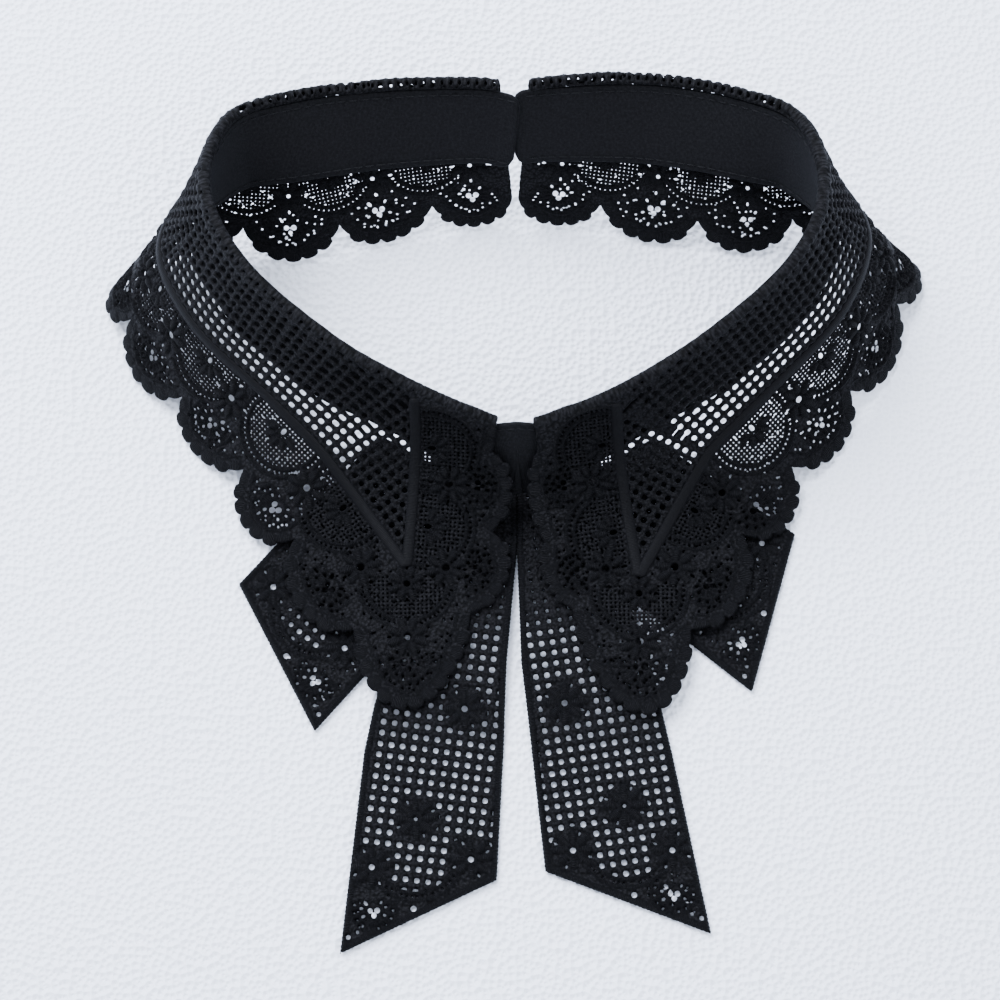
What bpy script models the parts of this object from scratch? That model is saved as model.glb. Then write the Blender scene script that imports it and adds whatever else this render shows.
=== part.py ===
"""A false collar of black guipure lace, laid out: a woven neck stand, two folded leaves and flat tails."""

import math

import bmesh
import bpy
import numpy as np
from mathutils import Vector
from mathutils.bvhtree import BVHTree
from mathutils.geometry import barycentric_transform, delaunay_2d_cdt

collar_name = "false_collar"
mm = 0.001

# Where the middle of the collar's box lies, from the middle of the table's layout, in mm
box_middle = (3.8, -8.0)

# Cloth, mm
lace_thick = 1.0
cord_rise = 0.8
cord_wide = 2.2
tail_thick = 1.2
stand_thick = 1.2
stand_high = 22.6
seam_gap = 0.35
stand_inset = 0.2
lace_colour = (0.012, 0.012, 0.013)
stand_colour = (0.008, 0.008, 0.009)

# The fold of a leaf over the stand, mm
fold_radius = 0.6
strip_high = 1.2
bend_reach = 22.4

# The border of a leaf, mm
scallop_deep = 9.0
lobe_deep = 1.5
end_lobe = 0.15
lobe_segments = 3
scallop_lobes = 7
arc_start = 0.36
grid_step = 6.0

# The steps that a leaf is worked out in
sections_along = 64
body_steps = 13
fold_steps = (0.25, 0.5, 0.75)
outline_step = 0.24
stand_steps = 89
ring_middle = (4.0, 65.0, 0.0)

# Each row is one section of a leaf, from the centre back to its front edge: the border's station (whole
# numbers are the middles of scallops), the fold's place and height, the edge's place and height, the slope in
# degrees at the fold and at the edge, and the stand's lean in degrees (above zero, its bottom is nearer the
# ring's middle).
section_columns = (
    "station", "fold_x", "fold_y", "fold_z", "edge_x", "edge_y", "edge_z", "slope_top", "slope_end", "lean"
)
left_sections = (
    (0.5, -0.2, 99.6, 40.6, 4.1, 77.5, 0.8, 64, 60, 31),
    (1.0, -6.0, 100.4, 40.1, -6.5, 77.1, 0.8, 63, 59, 32),
    (2.0, -29.5, 100.6, 38.6, -30.5, 72.5, 0.8, 57, 53, 37),
    (3.0, -53.0, 97.0, 39.6, -55.2, 66.9, 0.8, 56, 52, 39),
    (4.0, -70.0, 88.4, 43.1, -83.0, 69.0, 0.9, 68, 60, 20),
    (5.0, -75.0, 67.5, 46.6, -103.8, 56.6, 0.4, 63, 49, -13),
    (6.0, -64.5, 46.3, 45.6, -96.3, 34.6, 0.1, 58, 46, -17),
    (7.0, -43.0, 28.7, 40.1, -80.9, 14.4, 0.0, 55, 33, -18),
    (8.0, -25.8, 20.2, 34.1, -66.4, -8.2, 1.4, 53, 14, -13),
    (9.0, -11.4, 14.7, 29.6, -52.1, -30.6, 2.1, 53, 3, -14),
    (9.5, -7.8, 13.7, 28.4, -39.4, -52.0, 3.0, 53, 0, -18),
    (10.0, -5.0, 12.9, 27.5, -22.5, -59.0, 3.2, 54, 0, -25),
    (10.5, -2.2, 12.0, 26.6, -7.6, -57.0, 3.2, 54, 0, -30),
    (11.0, 4.4, 10.5, 25.2, 2.0, -50.0, 3.2, 54, 0, -33),
)
right_sections = (
    (0.5, 7.6, 99.6, 40.6, 4.2, 77.5, 0.8, 64, 60, 31),
    (1.0, 14.5, 100.9, 40.1, 14.7, 77.5, 0.8, 63, 59, 32),
    (2.0, 38.9, 102.4, 38.6, 39.8, 72.5, 0.8, 57, 53, 39),
    (3.0, 62.5, 97.6, 39.6, 65.5, 69.5, 0.8, 58, 54, 38),
    (4.0, 78.0, 87.6, 43.1, 92.0, 72.0, 0.9, 68, 60, 19),
    (5.0, 82.2, 66.7, 46.6, 111.6, 63.4, 0.4, 63, 49, -13),
    (6.0, 73.9, 47.7, 45.6, 103.6, 37.6, 0.1, 58, 46, -17),
    (7.0, 54.7, 31.1, 40.1, 89.6, 15.0, 0.0, 55, 33, -18),
    (8.0, 35.3, 19.9, 34.1, 75.2, -7.0, 1.4, 53, 14, -13),
    (9.0, 20.8, 14.3, 29.6, 62.5, -28.6, 2.1, 53, 3, -14),
    (9.5, 17.0, 13.5, 28.4, 50.2, -50.7, 3.0, 53, 0, -18),
    (10.0, 14.2, 12.7, 27.5, 35.5, -60.3, 3.2, 54, 0, -25),
    (10.5, 11.4, 11.9, 26.6, 22.9, -57.0, 3.2, 54, 0, -30),
    (11.0, 4.8, 10.5, 25.2, 15.0, -50.0, 3.2, 54, 0, -33),
)

# The scallops past the regular ones, as corners between fans in section coordinates: the corner's station and
# share of the section's depth, then the tip of the fan after it in the same terms, and that fan's lobes.
corner_columns = ("station", "share", "tip_station", "tip_share", "lobes")
left_corners = (
    (9.36, 0.85, 9.98, 0.99, 13),
    (10.41, 0.675, 10.97, 0.58, 7),
    (10.62, 0.405, 10.97, 0.25, 6),
    (10.56, 0.115, 10.70, 0.05, 2),
)
right_corners = (
    (9.35, 0.87, 9.98, 0.99, 13),
    (10.50, 0.665, 10.97, 0.60, 7),
    (10.81, 0.45, 10.97, 0.26, 6),
    (10.74, 0.115, 10.80, 0.05, 2),
)
top_corner_station = {"left": 10.62, "right": 10.73}

# The cord on a leaf: its tip, where its front strand meets the fold, and its way in from the scallops' tips, mm
cord_tip = {"left": (9.49, 0.565), "right": (9.49, 0.61)}
cord_top_station = {"left": 8.33, "right": 8.43}
cord_offset = 29.0
cord_start = 0.72
cord_straight = 8.2
cord_top_share = 0.03

# The tails, a row for each crossing from the neck to the end: its two sides' places and its underside's height
tail_columns = ("left_x", "left_y", "right_x", "right_y", "z")
tails = {
    "tail_long_left": (
        (-14.0, 0.5, 4.0, 0.5, 1.6),
        (-18.5, -12.0, 4.0, -12.0, 1.6),
        (-28.5, -45.0, 1.7, -45.0, 1.6),
        (-32.0, -56.0, 1.3, -56.0, 1.0),
        (-34.4, -68.0, 1.0, -66.0, 0.0),
        (-39.7, -120.0, -0.8, -101.3, 0.0),
    ),
    "tail_long_right": (
        (4.8, 0.5, 24.0, 0.5, 1.6),
        (4.8, -12.0, 28.5, -12.0, 1.6),
        (5.4, -45.0, 37.6, -45.0, 1.6),
        (6.7, -56.0, 40.8, -56.0, 1.0),
        (7.8, -66.0, 43.5, -68.0, 0.0),
        (11.3, -99.1, 52.5, -115.0, 0.0),
    ),
    "tail_short_left": (
        (-31.5, 18.0, 3.9, -3.0, 0.0),
        (-67.3, -23.3, -47.0, -62.7, 0.0),
    ),
    "tail_short_right": (
        (4.7, -3.0, 40.1, 17.0, 0.0),
        (64.2, -52.3, 76.4, -9.6, 0.0),
    ),
}

# The stand's two ends at the centre back and its middle at the front: the fold's place there and the lean
stand_ends = ((3.3, 99.2, 40.6, 31), (4.0, 99.3, 40.6, 31))
stand_middle = (4.6, 11.1, 26.1, -33)


def spline(stations, values, wanted):
    """A smooth curve through rows of values at uneven stations."""
    stations = np.array(stations, float)
    values = np.array(values, float)
    gaps = np.diff(stations)
    slopes = np.diff(values, axis=0) / gaps[:, None]
    tangents = np.empty_like(values)
    tangents[0] = slopes[0]
    tangents[-1] = slopes[-1]
    before, after = gaps[:-1, None], gaps[1:, None]
    tangents[1:-1] = (slopes[:-1] * after + slopes[1:] * before) / (before + after)
    span = np.clip(np.searchsorted(stations, wanted, side="right") - 1, 0, len(gaps) - 1)
    width = gaps[span][:, None]
    u = ((wanted - stations[span]) / gaps[span])[:, None]
    start, end = values[span], values[span + 1]
    leave, arrive = tangents[span] * width, tangents[span + 1] * width
    return (
        (2 * u**3 - 3 * u**2 + 1) * start
        + (u**3 - 2 * u**2 + u) * leave
        + (3 * u**2 - 2 * u**3) * end
        + (u**3 - u**2) * arrive
    )


def columns(table, names, *wanted):
    """The wanted columns of a table, by name."""
    picked = [names.index(name) for name in wanted]
    return np.array(table, float)[:, picked]


def unit(vectors):
    return vectors / np.linalg.norm(vectors, axis=-1, keepdims=True)


def along(line, shares):
    """Points at the given shares of a line's length."""
    steps = np.linalg.norm(np.diff(line, axis=0), axis=1)
    reached = np.append(0.0, np.cumsum(steps)) / steps.sum()
    return np.stack([np.interp(shares, reached, line[:, axis]) for axis in range(3)], axis=1)


class Leaf:
    """One leaf's surface, from the seam over the fold to the edge, in the round and laid flat."""

    strip_rungs = (-strip_high, -strip_high / 2, 0.0)
    fold_rung = len(strip_rungs) + len(fold_steps)
    body_shares = np.linspace(0.0, 1.0, body_steps)

    def __init__(self, sections):
        known = columns(sections, section_columns, "station")[:, 0]
        self.stations = np.linspace(known[0], known[-1], sections_along)

        def smooth(*names):
            return spline(known, columns(sections, section_columns, *names), self.stations)

        self.fold = smooth("fold_x", "fold_y", "fold_z")
        self.edge = smooth("edge_x", "edge_y", "edge_z")
        self.slopes = np.radians(smooth("slope_top", "slope_end"))
        self.lean = np.radians(smooth("lean")[:, 0])
        run = unit(np.gradient(self.fold, axis=0))
        flat_run = unit(run * (1, 1, 0))
        inward = np.stack([-flat_run[:, 1], flat_run[:, 0], 0 * flat_run[:, 0]], axis=1)
        facing = np.sign(np.einsum("ij,ij->i", inward, np.array(ring_middle) - self.fold))
        self.inward = inward * np.sign(np.median(facing))
        down = np.array([0.0, 0.0, -1.0])
        fall = np.sin(self.lean)[:, None] * self.inward + np.cos(self.lean)[:, None] * down
        self.fall = unit(fall - np.einsum("ij,ij->i", fall, run)[:, None] * run)
        outward = np.cross(run, self.fall)
        self.outward = outward * np.sign(-np.einsum("ij,ij->i", outward, self.inward))[:, None]
        self.grid = np.array([self.section(i) for i in range(len(self.stations))])
        self.flat = flattened(self.grid, self.guess())

    def section(self, i):
        """One section's inner line: up the strip, round the fold and down to the edge."""
        fold, edge, fall, outward = self.fold[i], self.edge[i], self.fall[i], self.outward[i]
        level = (edge - fold) * (1, 1, 0)
        reach = np.linalg.norm(level)
        ahead = level / reach
        steep, flat = self.slopes[i]
        body = math.cos(steep) * ahead - math.sin(steep) * np.array([0.0, 0.0, 1.0])
        in_plane = np.array([np.dot(body, fall), np.dot(body, outward)])
        turn = math.pi - math.acos(np.clip(in_plane[0] / np.linalg.norm(in_plane), -1, 1))
        turn = max(turn, 2.0) if in_plane[1] > 0 else math.pi
        strip = [fold - fold_radius * outward - (k * fall) for k in self.strip_rungs]
        bend = [
            fold - fold_radius * (math.cos(turn * k) * outward + math.sin(turn * k) * fall)
            for k in fold_steps + (1.0,)
        ]
        start = bend[-1]
        level = (edge - start) * (1, 1, 0)
        reach = np.linalg.norm(level)
        ahead = level / reach
        drop = start[2] - edge[2]
        across = (drop - reach * math.tan(flat)) / (math.tan(steep) - math.tan(flat))
        across = min(max(across, 0.05 * reach), 0.95 * reach)
        knee = start + ahead * across
        knee[2] = start[2] - across * math.tan(steep)
        if knee[2] < edge[2]:
            knee[2] = edge[2]
        back, on = start - knee, edge - knee
        bend_from = knee + unit(back) * min(bend_reach, 0.9 * np.linalg.norm(back))
        bend_to = knee + unit(on) * min(bend_reach, 0.9 * np.linalg.norm(on))
        u = np.linspace(0, 1, body_steps)[:, None]
        round_it = (1 - u) ** 2 * bend_from + 2 * u * (1 - u) * knee + u**2 * bend_to
        line = np.vstack([start, round_it, edge])
        return np.vstack([strip, bend[:-1], along(line, self.body_shares)])

    def guess(self):
        """The flat places to start from: stations along, lengths across."""
        lengths = np.linalg.norm(np.diff(self.grid, axis=1), axis=2)
        across = np.concatenate([np.zeros((len(lengths), 1)), np.cumsum(lengths, axis=1)], axis=1)
        across -= across[:, self.fold_rung][:, None]
        middle = self.grid[:, self.fold_rung + body_steps // 2]
        steps = np.linalg.norm(np.diff(middle, axis=0), axis=1)
        length = np.append(0.0, np.cumsum(steps))
        return np.stack([np.broadcast_to(length[:, None], across.shape), across], axis=2)

    def at(self, station, share):
        """The flat place at a station and a share of the section's depth."""
        i = np.interp(station, self.stations, np.arange(len(self.stations)))
        j = self.fold_rung + share * (len(self.body_shares) - 1)
        return self.between(self.flat, i, j)

    def between(self, grid, i, j):
        low_i = min(int(i), grid.shape[0] - 2)
        low_j = min(int(j), grid.shape[1] - 2)
        u, v = i - low_i, j - low_j
        near = grid[low_i, low_j] * (1 - v) + grid[low_i, low_j + 1] * v
        far = grid[low_i + 1, low_j] * (1 - v) + grid[low_i + 1, low_j + 1] * v
        return near * (1 - u) + far * u

    def depth(self, station):
        """How long the section is at a station, from the fold to the edge, mm."""
        return np.linalg.norm(self.at(station, 1.0) - self.at(station, 0.0))


def flattened(grid, guess, rounds=80):
    """The grid laid flat with its triangles kept as nearly rigid as can be."""
    rows, columns = grid.shape[:2]
    index = np.arange(rows * columns).reshape(rows, columns)
    a, b = index[:-1, :-1].ravel(), index[1:, :-1].ravel()
    c, d = index[1:, 1:].ravel(), index[:-1, 1:].ravel()
    faces = np.vstack([np.stack([a, b, c], axis=1), np.stack([a, c, d], axis=1)])
    points = grid.reshape(-1, 3)
    first = points[faces[:, 1]] - points[faces[:, 0]]
    second = points[faces[:, 2]] - points[faces[:, 0]]
    base = np.linalg.norm(first, axis=1)
    lean = np.einsum("ij,ij->i", first, second) / base
    rise = np.linalg.norm(np.cross(first, second), axis=1) / base
    local = np.zeros((len(faces), 3, 2))
    local[:, 1, 0] = base
    local[:, 2] = np.stack([lean, rise], axis=1)
    sides = [(0, 1), (1, 2), (2, 0)]
    ends = np.vstack([faces[:, side] for side in sides])
    rest = np.vstack([local[:, one] - local[:, other] for one, other in sides])
    matrix = np.zeros((len(points), len(points)))
    np.add.at(matrix, (ends[:, 0], ends[:, 0]), 1)
    np.add.at(matrix, (ends[:, 1], ends[:, 1]), 1)
    np.add.at(matrix, (ends[:, 0], ends[:, 1]), -1)
    np.add.at(matrix, (ends[:, 1], ends[:, 0]), -1)
    matrix[0, 0] += 1
    solve = np.linalg.inv(matrix)
    flat = guess.reshape(-1, 2).astype(float)
    for _ in range(rounds):
        now = flat[ends[:, 0]] - flat[ends[:, 1]]
        dots = (rest * now).sum(axis=1).reshape(3, -1).sum(axis=0)
        turns = (rest[:, 0] * now[:, 1] - rest[:, 1] * now[:, 0]).reshape(3, -1).sum(axis=0)
        angle = np.tile(np.arctan2(turns, dots), 3)
        cosine, sine = np.cos(angle), np.sin(angle)
        turned = np.stack(
            [rest[:, 0] * cosine - rest[:, 1] * sine, rest[:, 0] * sine + rest[:, 1] * cosine], axis=1
        )
        target = np.zeros_like(flat)
        np.add.at(target, ends[:, 0], turned)
        np.add.at(target, ends[:, 1], -turned)
        target[0] += flat[0]
        flat = solve @ target
    return flat.reshape(rows, columns, 2)


class Cloth:
    """A leaf's flat places lifted onto its surface."""

    def __init__(self, leaf):
        rows, columns = leaf.flat.shape[:2]
        self.flat = [Vector((x, y, 0.0)) for x, y in leaf.flat.reshape(-1, 2)]
        self.round = [Vector(point) for point in leaf.grid.reshape(-1, 3)]
        self.faces = []
        for i in range(rows - 1):
            for j in range(columns - 1):
                a = i * columns + j
                self.faces.append((a, a + columns, a + columns + 1))
                self.faces.append((a, a + columns + 1, a + 1))
        self.tree = BVHTree.FromPolygons(self.flat, self.faces)

    def lift(self, place):
        point = Vector((place[0], place[1], 0.0))
        face = self.faces[self.tree.find_nearest(point)[2]]
        flat = [self.flat[corner] for corner in face]
        solid = [self.round[corner] for corner in face]
        return barycentric_transform(point, *flat, *solid)


def fan(start, tip, end, lobes):
    """A scallop's edge from one corner round its tip to the next, broken into small lobes."""
    middle = (start + end) / 2
    reach = tip - middle
    reach *= 1 - lobe_deep / np.linalg.norm(reach)
    angles = np.linspace(arc_start, math.pi - arc_start, 121)[:, None]
    aside = np.cos(angles) / math.cos(arc_start)
    ahead = (np.sin(angles) - math.sin(arc_start)) / (1 - math.sin(arc_start))
    arc = middle + (start - middle) * aside + reach * ahead
    lengths = np.append(0.0, np.cumsum(np.linalg.norm(np.diff(arc, axis=0), axis=1)))
    tangents = unit(np.gradient(arc, axis=0))
    outward = np.stack([tangents[:, 1], -tangents[:, 0]], axis=1)
    if np.sum(outward[60] * reach) < 0:
        outward = -outward
    points = []
    for step in range(lobes * lobe_segments):
        share = (step % lobe_segments) / lobe_segments
        place = lengths[-1] * step / (lobes * lobe_segments)
        at_end = step // lobe_segments in (0, lobes - 1)
        rise = lobe_deep * (end_lobe if at_end else 1.0) * math.sqrt(max(0.0, 1 - (2 * share - 1) ** 2))
        spot = np.array([np.interp(place, lengths, arc[:, axis]) for axis in (0, 1)])
        push = np.array([np.interp(place, lengths, outward[:, axis]) for axis in (0, 1)])
        points.append(spot + rise * push)
    return points


def rung_points(leaf, station, rungs):
    i = np.interp(station, leaf.stations, np.arange(len(leaf.stations)))
    return [leaf.between(leaf.flat, i, j) for j in rungs]


def leaf_outline(leaf, corners, top_station):
    """The leaf's flat edge: down the back edge, along the scallops, up the front and back along the seam."""
    first = leaf.stations[0]
    rungs = [0] + list(range(2, leaf.fold_rung + 1))
    points = rung_points(leaf, first, rungs)
    notch = 1 - scallop_deep / leaf.depth(first)
    points += [leaf.at(first, notch * k / 8) for k in range(1, 8)]
    last = int(corners[0][0])
    for number in range(1, last + 1):
        ends = []
        for station in (number - 0.5, number + 0.5):
            ends.append(leaf.at(station, 1 - scallop_deep / leaf.depth(station)))
        if number == last:
            ends[1] = leaf.at(*corners[0][:2])
        points += fan(ends[0], leaf.at(number, 1.0), ends[1], scallop_lobes)
    for row, following in zip(corners, corners[1:] + ((top_station, 0.0),)):
        corner = dict(zip(corner_columns, row))
        start, end = leaf.at(corner["station"], corner["share"]), leaf.at(*following[:2])
        points += fan(start, leaf.at(corner["tip_station"], corner["tip_share"]), end, corner["lobes"])
    points += rung_points(leaf, top_station, rungs[::-1])
    for station in np.arange(top_station - outline_step, first + outline_step / 2, -outline_step):
        points += rung_points(leaf, station, [0])
    return points


def cord_path(leaf, side):
    """The cord's flat path: along the border to the tip, then up the front strand to the fold."""
    beside = np.arange(cord_start, cord_straight, outline_step)
    down = [leaf.at(station, 1 - cord_offset / leaf.depth(station)) for station in beside]
    tip = leaf.at(*cord_tip[side])
    last = down[-1]
    down += [last + (tip - last) * k / 7 for k in range(1, 8)]
    top = leaf.at(cord_top_station[side], cord_top_share)
    return np.array(down), np.array([tip + (top - tip) * k / 9 for k in range(1, 10)])


def inside(point, polygon):
    x, y = point
    following = np.roll(polygon, -1, axis=0)
    spans = (polygon[:, 1] > y) != (following[:, 1] > y)
    with np.errstate(divide="ignore", invalid="ignore"):
        cross = polygon[:, 0] + (y - polygon[:, 1]) * (following[:, 0] - polygon[:, 0]) / (
            following[:, 1] - polygon[:, 1]
        )
    return bool(np.sum(spans & (x < cross)) % 2)


def make_object(name, mesh, collection, colour):
    thing = bpy.data.objects.new(name, mesh)
    collection.objects.link(thing)
    material = bpy.data.materials.new(name)
    material.use_nodes = True
    shader = material.node_tree.nodes["Principled BSDF"]
    shader.inputs["Base Color"].default_value = (*colour, 1.0)
    shader.inputs["Roughness"].default_value = 0.8
    shader.inputs["Metallic"].default_value = 0.0
    mesh.materials.append(material)
    return thing


def thicken(thing, thick, offset, group=""):
    modifier = thing.modifiers.new("cloth", "SOLIDIFY")
    modifier.thickness = thick * mm
    modifier.offset = offset
    modifier.use_quality_normals = True
    if group:
        modifier.vertex_group = group


def to_frame(point):
    x, y, z = point
    return Vector((x - box_middle[0], y - box_middle[1], z)) * mm


def make_leaf(side, sections, corners, collection):
    """One leaf: its flat shape cut out, lifted over the stand and made thick, thicker along the cord."""
    leaf = Leaf(sections)
    cloth = Cloth(leaf)
    outline = np.array(leaf_outline(leaf, corners, top_corner_station[side]))
    points = [tuple(point) for point in outline]
    edges = [(k, (k + 1) % len(points)) for k in range(len(points))]
    top_station = top_corner_station[side]
    between = np.arange(leaf.stations[0] + outline_step, top_station - outline_step / 2, outline_step)
    for order, rung in enumerate(range(2, leaf.fold_rung + 1)):
        chain = [order + 1]
        for station in between:
            points.append(tuple(rung_points(leaf, station, [rung])[0]))
            chain.append(len(points) - 1)
        finish = rung_points(leaf, top_station, [rung])[0]
        chain.append(int(np.argmin(np.linalg.norm(outline - finish, axis=1))))
        edges += list(zip(chain, chain[1:]))
    raised = set()
    strands = cord_path(leaf, side)
    line = np.vstack(strands)
    for strand in strands:
        run = unit(np.gradient(strand, axis=0))
        aside = np.stack([-run[:, 1], run[:, 0]], axis=1) * cord_wide / 2
        for shift in (-1, 0, 1):
            track = [tuple(point) for point in strand + shift * aside if inside(point, outline)]
            base = len(points)
            points += track
            edges += [(base + k, base + k + 1) for k in range(len(track) - 1)]
            if shift == 0:
                raised.update(range(base, base + len(track)))
    for station in np.arange(leaf.stations[0] + outline_step / 2, leaf.stations[-1], outline_step):
        for share in np.arange(grid_step, leaf.depth(station), grid_step) / leaf.depth(station):
            place = leaf.at(station, share)
            clear_edge = np.linalg.norm(outline - place, axis=1).min() > grid_step / 3
            clear_cord = np.linalg.norm(line - place, axis=1).min() > 0.55 * grid_step
            if clear_edge and clear_cord and inside(place, outline):
                points.append(tuple(place))
    flat_points = [Vector(point) for point in points]
    found = delaunay_2d_cdt(flat_points, edges, [], 0, 1e-4, True)
    places, origins = found[0], found[3]
    faces = [face for face in found[2] if inside(np.mean([places[k] for k in face], axis=0), outline)]
    solid = [to_frame(cloth.lift(place)) for place in places]
    mesh = bpy.data.meshes.new(f"leaf_{side}")
    mesh.from_pydata(solid, [], faces)
    mesh.validate()
    facing_up = sum(face.normal.z * face.area for face in mesh.polygons)
    if facing_up < 0:
        mesh.flip_normals()
    thing = make_object(f"leaf_{side}", mesh, collection, lace_colour)
    group = thing.vertex_groups.new(name="cloth")
    plain = lace_thick / (lace_thick + cord_rise)
    for k, origin in enumerate(origins):
        group.add([k], 1.0 if raised.intersection(origin) else plain, "REPLACE")
    thicken(thing, lace_thick + cord_rise, 1.0, "cloth")
    return thing


def make_stand(collection):
    """The woven band along both folds, each crossing leaning as the neck does there."""
    wanted = ("station", "fold_x", "fold_y", "fold_z", "lean")
    left = columns(left_sections[1:-1], section_columns, *wanted)
    right = columns(right_sections[1:-1], section_columns, *wanted)[::-1]
    front = left_sections[-1][0]
    right[:, 0] = 2 * front - right[:, 0]
    start, middle, end = [0.0, *stand_ends[0]], [front, *stand_middle], [2 * front, *stand_ends[1]]
    table = np.vstack([start, left, middle, right, end])
    values = spline(table[:, 0], table[:, 1:], np.linspace(0.0, 2 * front, stand_steps))
    fold, lean = values[:, :3], np.radians(values[:, 3])
    run = unit(np.gradient(fold, axis=0))
    level = unit(run * (1, 1, 0))
    inward = np.stack([-level[:, 1], level[:, 0], 0 * level[:, 0]], axis=1)
    fall = np.sin(lean)[:, None] * inward - np.cos(lean)[:, None] * np.array([0.0, 0.0, 1.0])
    fall = unit(fall - np.einsum("ij,ij->i", fall, run)[:, None] * run)
    outward = np.cross(run, fall)
    outward *= np.sign(-np.einsum("ij,ij->i", outward, inward))[:, None]
    top = fold - (fold_radius - stand_inset) * outward + (strip_high + seam_gap) * fall
    form = bmesh.new()
    rows = []
    for share in (0.0, 0.5, 1.0):
        line = top + share * stand_high * fall
        rows.append([form.verts.new(to_frame(point)) for point in line])
    for low, high in zip(rows, rows[1:]):
        for k in range(len(low) - 1):
            form.faces.new((low[k], low[k + 1], high[k + 1], high[k]))
    mesh = bpy.data.meshes.new("neck_stand")
    form.to_mesh(mesh)
    form.free()
    thing = make_object("neck_stand", mesh, collection, stand_colour)
    thicken(thing, stand_thick, 0.0)
    return thing


def make_tail(name, rows, collection):
    """A flat tail through its crossings, its underside where the table below names."""
    form = bmesh.new()
    lines = []
    for row in rows:
        crossing = dict(zip(tail_columns, row))
        ends = [(crossing[f"{end}_x"], crossing[f"{end}_y"], crossing["z"]) for end in ("left", "right")]
        lines.append([form.verts.new(to_frame(end)) for end in ends])
    for upper, lower in zip(lines, lines[1:]):
        form.faces.new((upper[0], lower[0], lower[1], upper[1]))
    mesh = bpy.data.meshes.new(name)
    form.to_mesh(mesh)
    form.free()
    if mesh.polygons[0].normal.z < 0:
        mesh.flip_normals()
    thing = make_object(name, mesh, collection, lace_colour)
    thicken(thing, tail_thick, 1.0)
    return thing


def main():
    for thing in list(bpy.data.objects):
        bpy.data.objects.remove(thing, do_unlink=True)
    collection = bpy.data.collections.new(collar_name)
    bpy.context.scene.collection.children.link(collection)
    make_stand(collection)
    make_leaf("left", left_sections, left_corners, collection)
    make_leaf("right", right_sections, right_corners, collection)
    for name, rows in tails.items():
        make_tail(name, rows, collection)


main()
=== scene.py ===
import math

import bpy
import numpy as np
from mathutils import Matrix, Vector


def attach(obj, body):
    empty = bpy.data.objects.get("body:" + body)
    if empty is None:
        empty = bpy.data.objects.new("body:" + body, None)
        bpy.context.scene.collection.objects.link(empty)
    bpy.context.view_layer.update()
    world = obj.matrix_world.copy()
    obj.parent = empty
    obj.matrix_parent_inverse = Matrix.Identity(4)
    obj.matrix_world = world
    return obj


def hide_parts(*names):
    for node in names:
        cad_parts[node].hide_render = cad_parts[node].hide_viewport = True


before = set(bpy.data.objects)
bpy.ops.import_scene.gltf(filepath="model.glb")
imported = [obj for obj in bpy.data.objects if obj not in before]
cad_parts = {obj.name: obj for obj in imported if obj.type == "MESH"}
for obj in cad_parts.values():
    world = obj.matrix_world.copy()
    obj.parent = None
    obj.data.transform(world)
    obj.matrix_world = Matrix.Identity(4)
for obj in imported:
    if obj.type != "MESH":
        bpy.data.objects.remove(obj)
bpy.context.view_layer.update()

# everything is drawn in mm on the table's layout, then moved into the frame
layoutMiddle = np.array([3.8, -8.0, 0.0])


def toFrame(points):
    return (np.asarray(points, float) - layoutMiddle) * 0.001


# small maths helpers
def unit(rows):
    return rows / np.linalg.norm(rows, axis=-1, keepdims=True)


def smoothCurve(known, values, wanted):
    known = np.array(known, float)
    values = np.array(values, float)
    gaps = np.diff(known)
    slopes = np.diff(values, axis=0) / gaps[:, None]
    tangents = np.vstack([slopes[:1], np.zeros_like(values[1:-1]), slopes[-1:]])
    before, after = gaps[:-1, None], gaps[1:, None]
    tangents[1:-1] = (slopes[:-1] * after + slopes[1:] * before) / (before + after)
    span = np.clip(np.searchsorted(known, wanted, side="right") - 1, 0, len(gaps) - 1)
    wide = gaps[span][:, None]
    u = ((wanted - known[span]) / gaps[span])[:, None]
    leave, arrive = tangents[span] * wide, tangents[span + 1] * wide
    return ((2 * u**3 - 3 * u**2 + 1) * values[span] + (u**3 - 2 * u**2 + u) * leave
            + (3 * u**2 - 2 * u**3) * values[span + 1] + (u**3 - u**2) * arrive)


def lengthAlong(line):
    return np.append(0.0, np.cumsum(np.linalg.norm(np.diff(line, axis=0), axis=1)))


def spread(line, shares):
    reached = lengthAlong(line)
    return np.stack([np.interp(shares, reached / reached[-1], column) for column in line.T], axis=1)


def threadNoise(x, y, pitch, seed):
    # seeded random heights from -1 to 1, smoothed between the points of a grid
    size = 512
    table = np.random.default_rng(seed).uniform(-1, 1, (size, size))
    u, v = x / pitch, y / pitch
    i, j = np.floor(u).astype(int), np.floor(v).astype(int)
    u, v = u - i, v - j
    u, v = u * u * (3 - 2 * u), v * v * (3 - 2 * v)
    i, j, i1, j1 = i % size, j % size, (i + 1) % size, (j + 1) % size
    near = table[j, i] * (1 - u) + table[j, i1] * u
    far = table[j1, i] * (1 - u) + table[j1, i1] * u
    return near * (1 - v) + far * v


def grain(x, y, size, seed=0):
    # smooth cloth-like unevenness, the same on every run
    x, y = x / size, y / size
    one = np.sin(x * 6.1 + 1.7 * np.sin(y * 3.3 + seed))
    two = np.sin(y * 5.7 + 1.3 * np.sin(x * 4.1 + seed * 2))
    return (one + two) / 2


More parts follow.
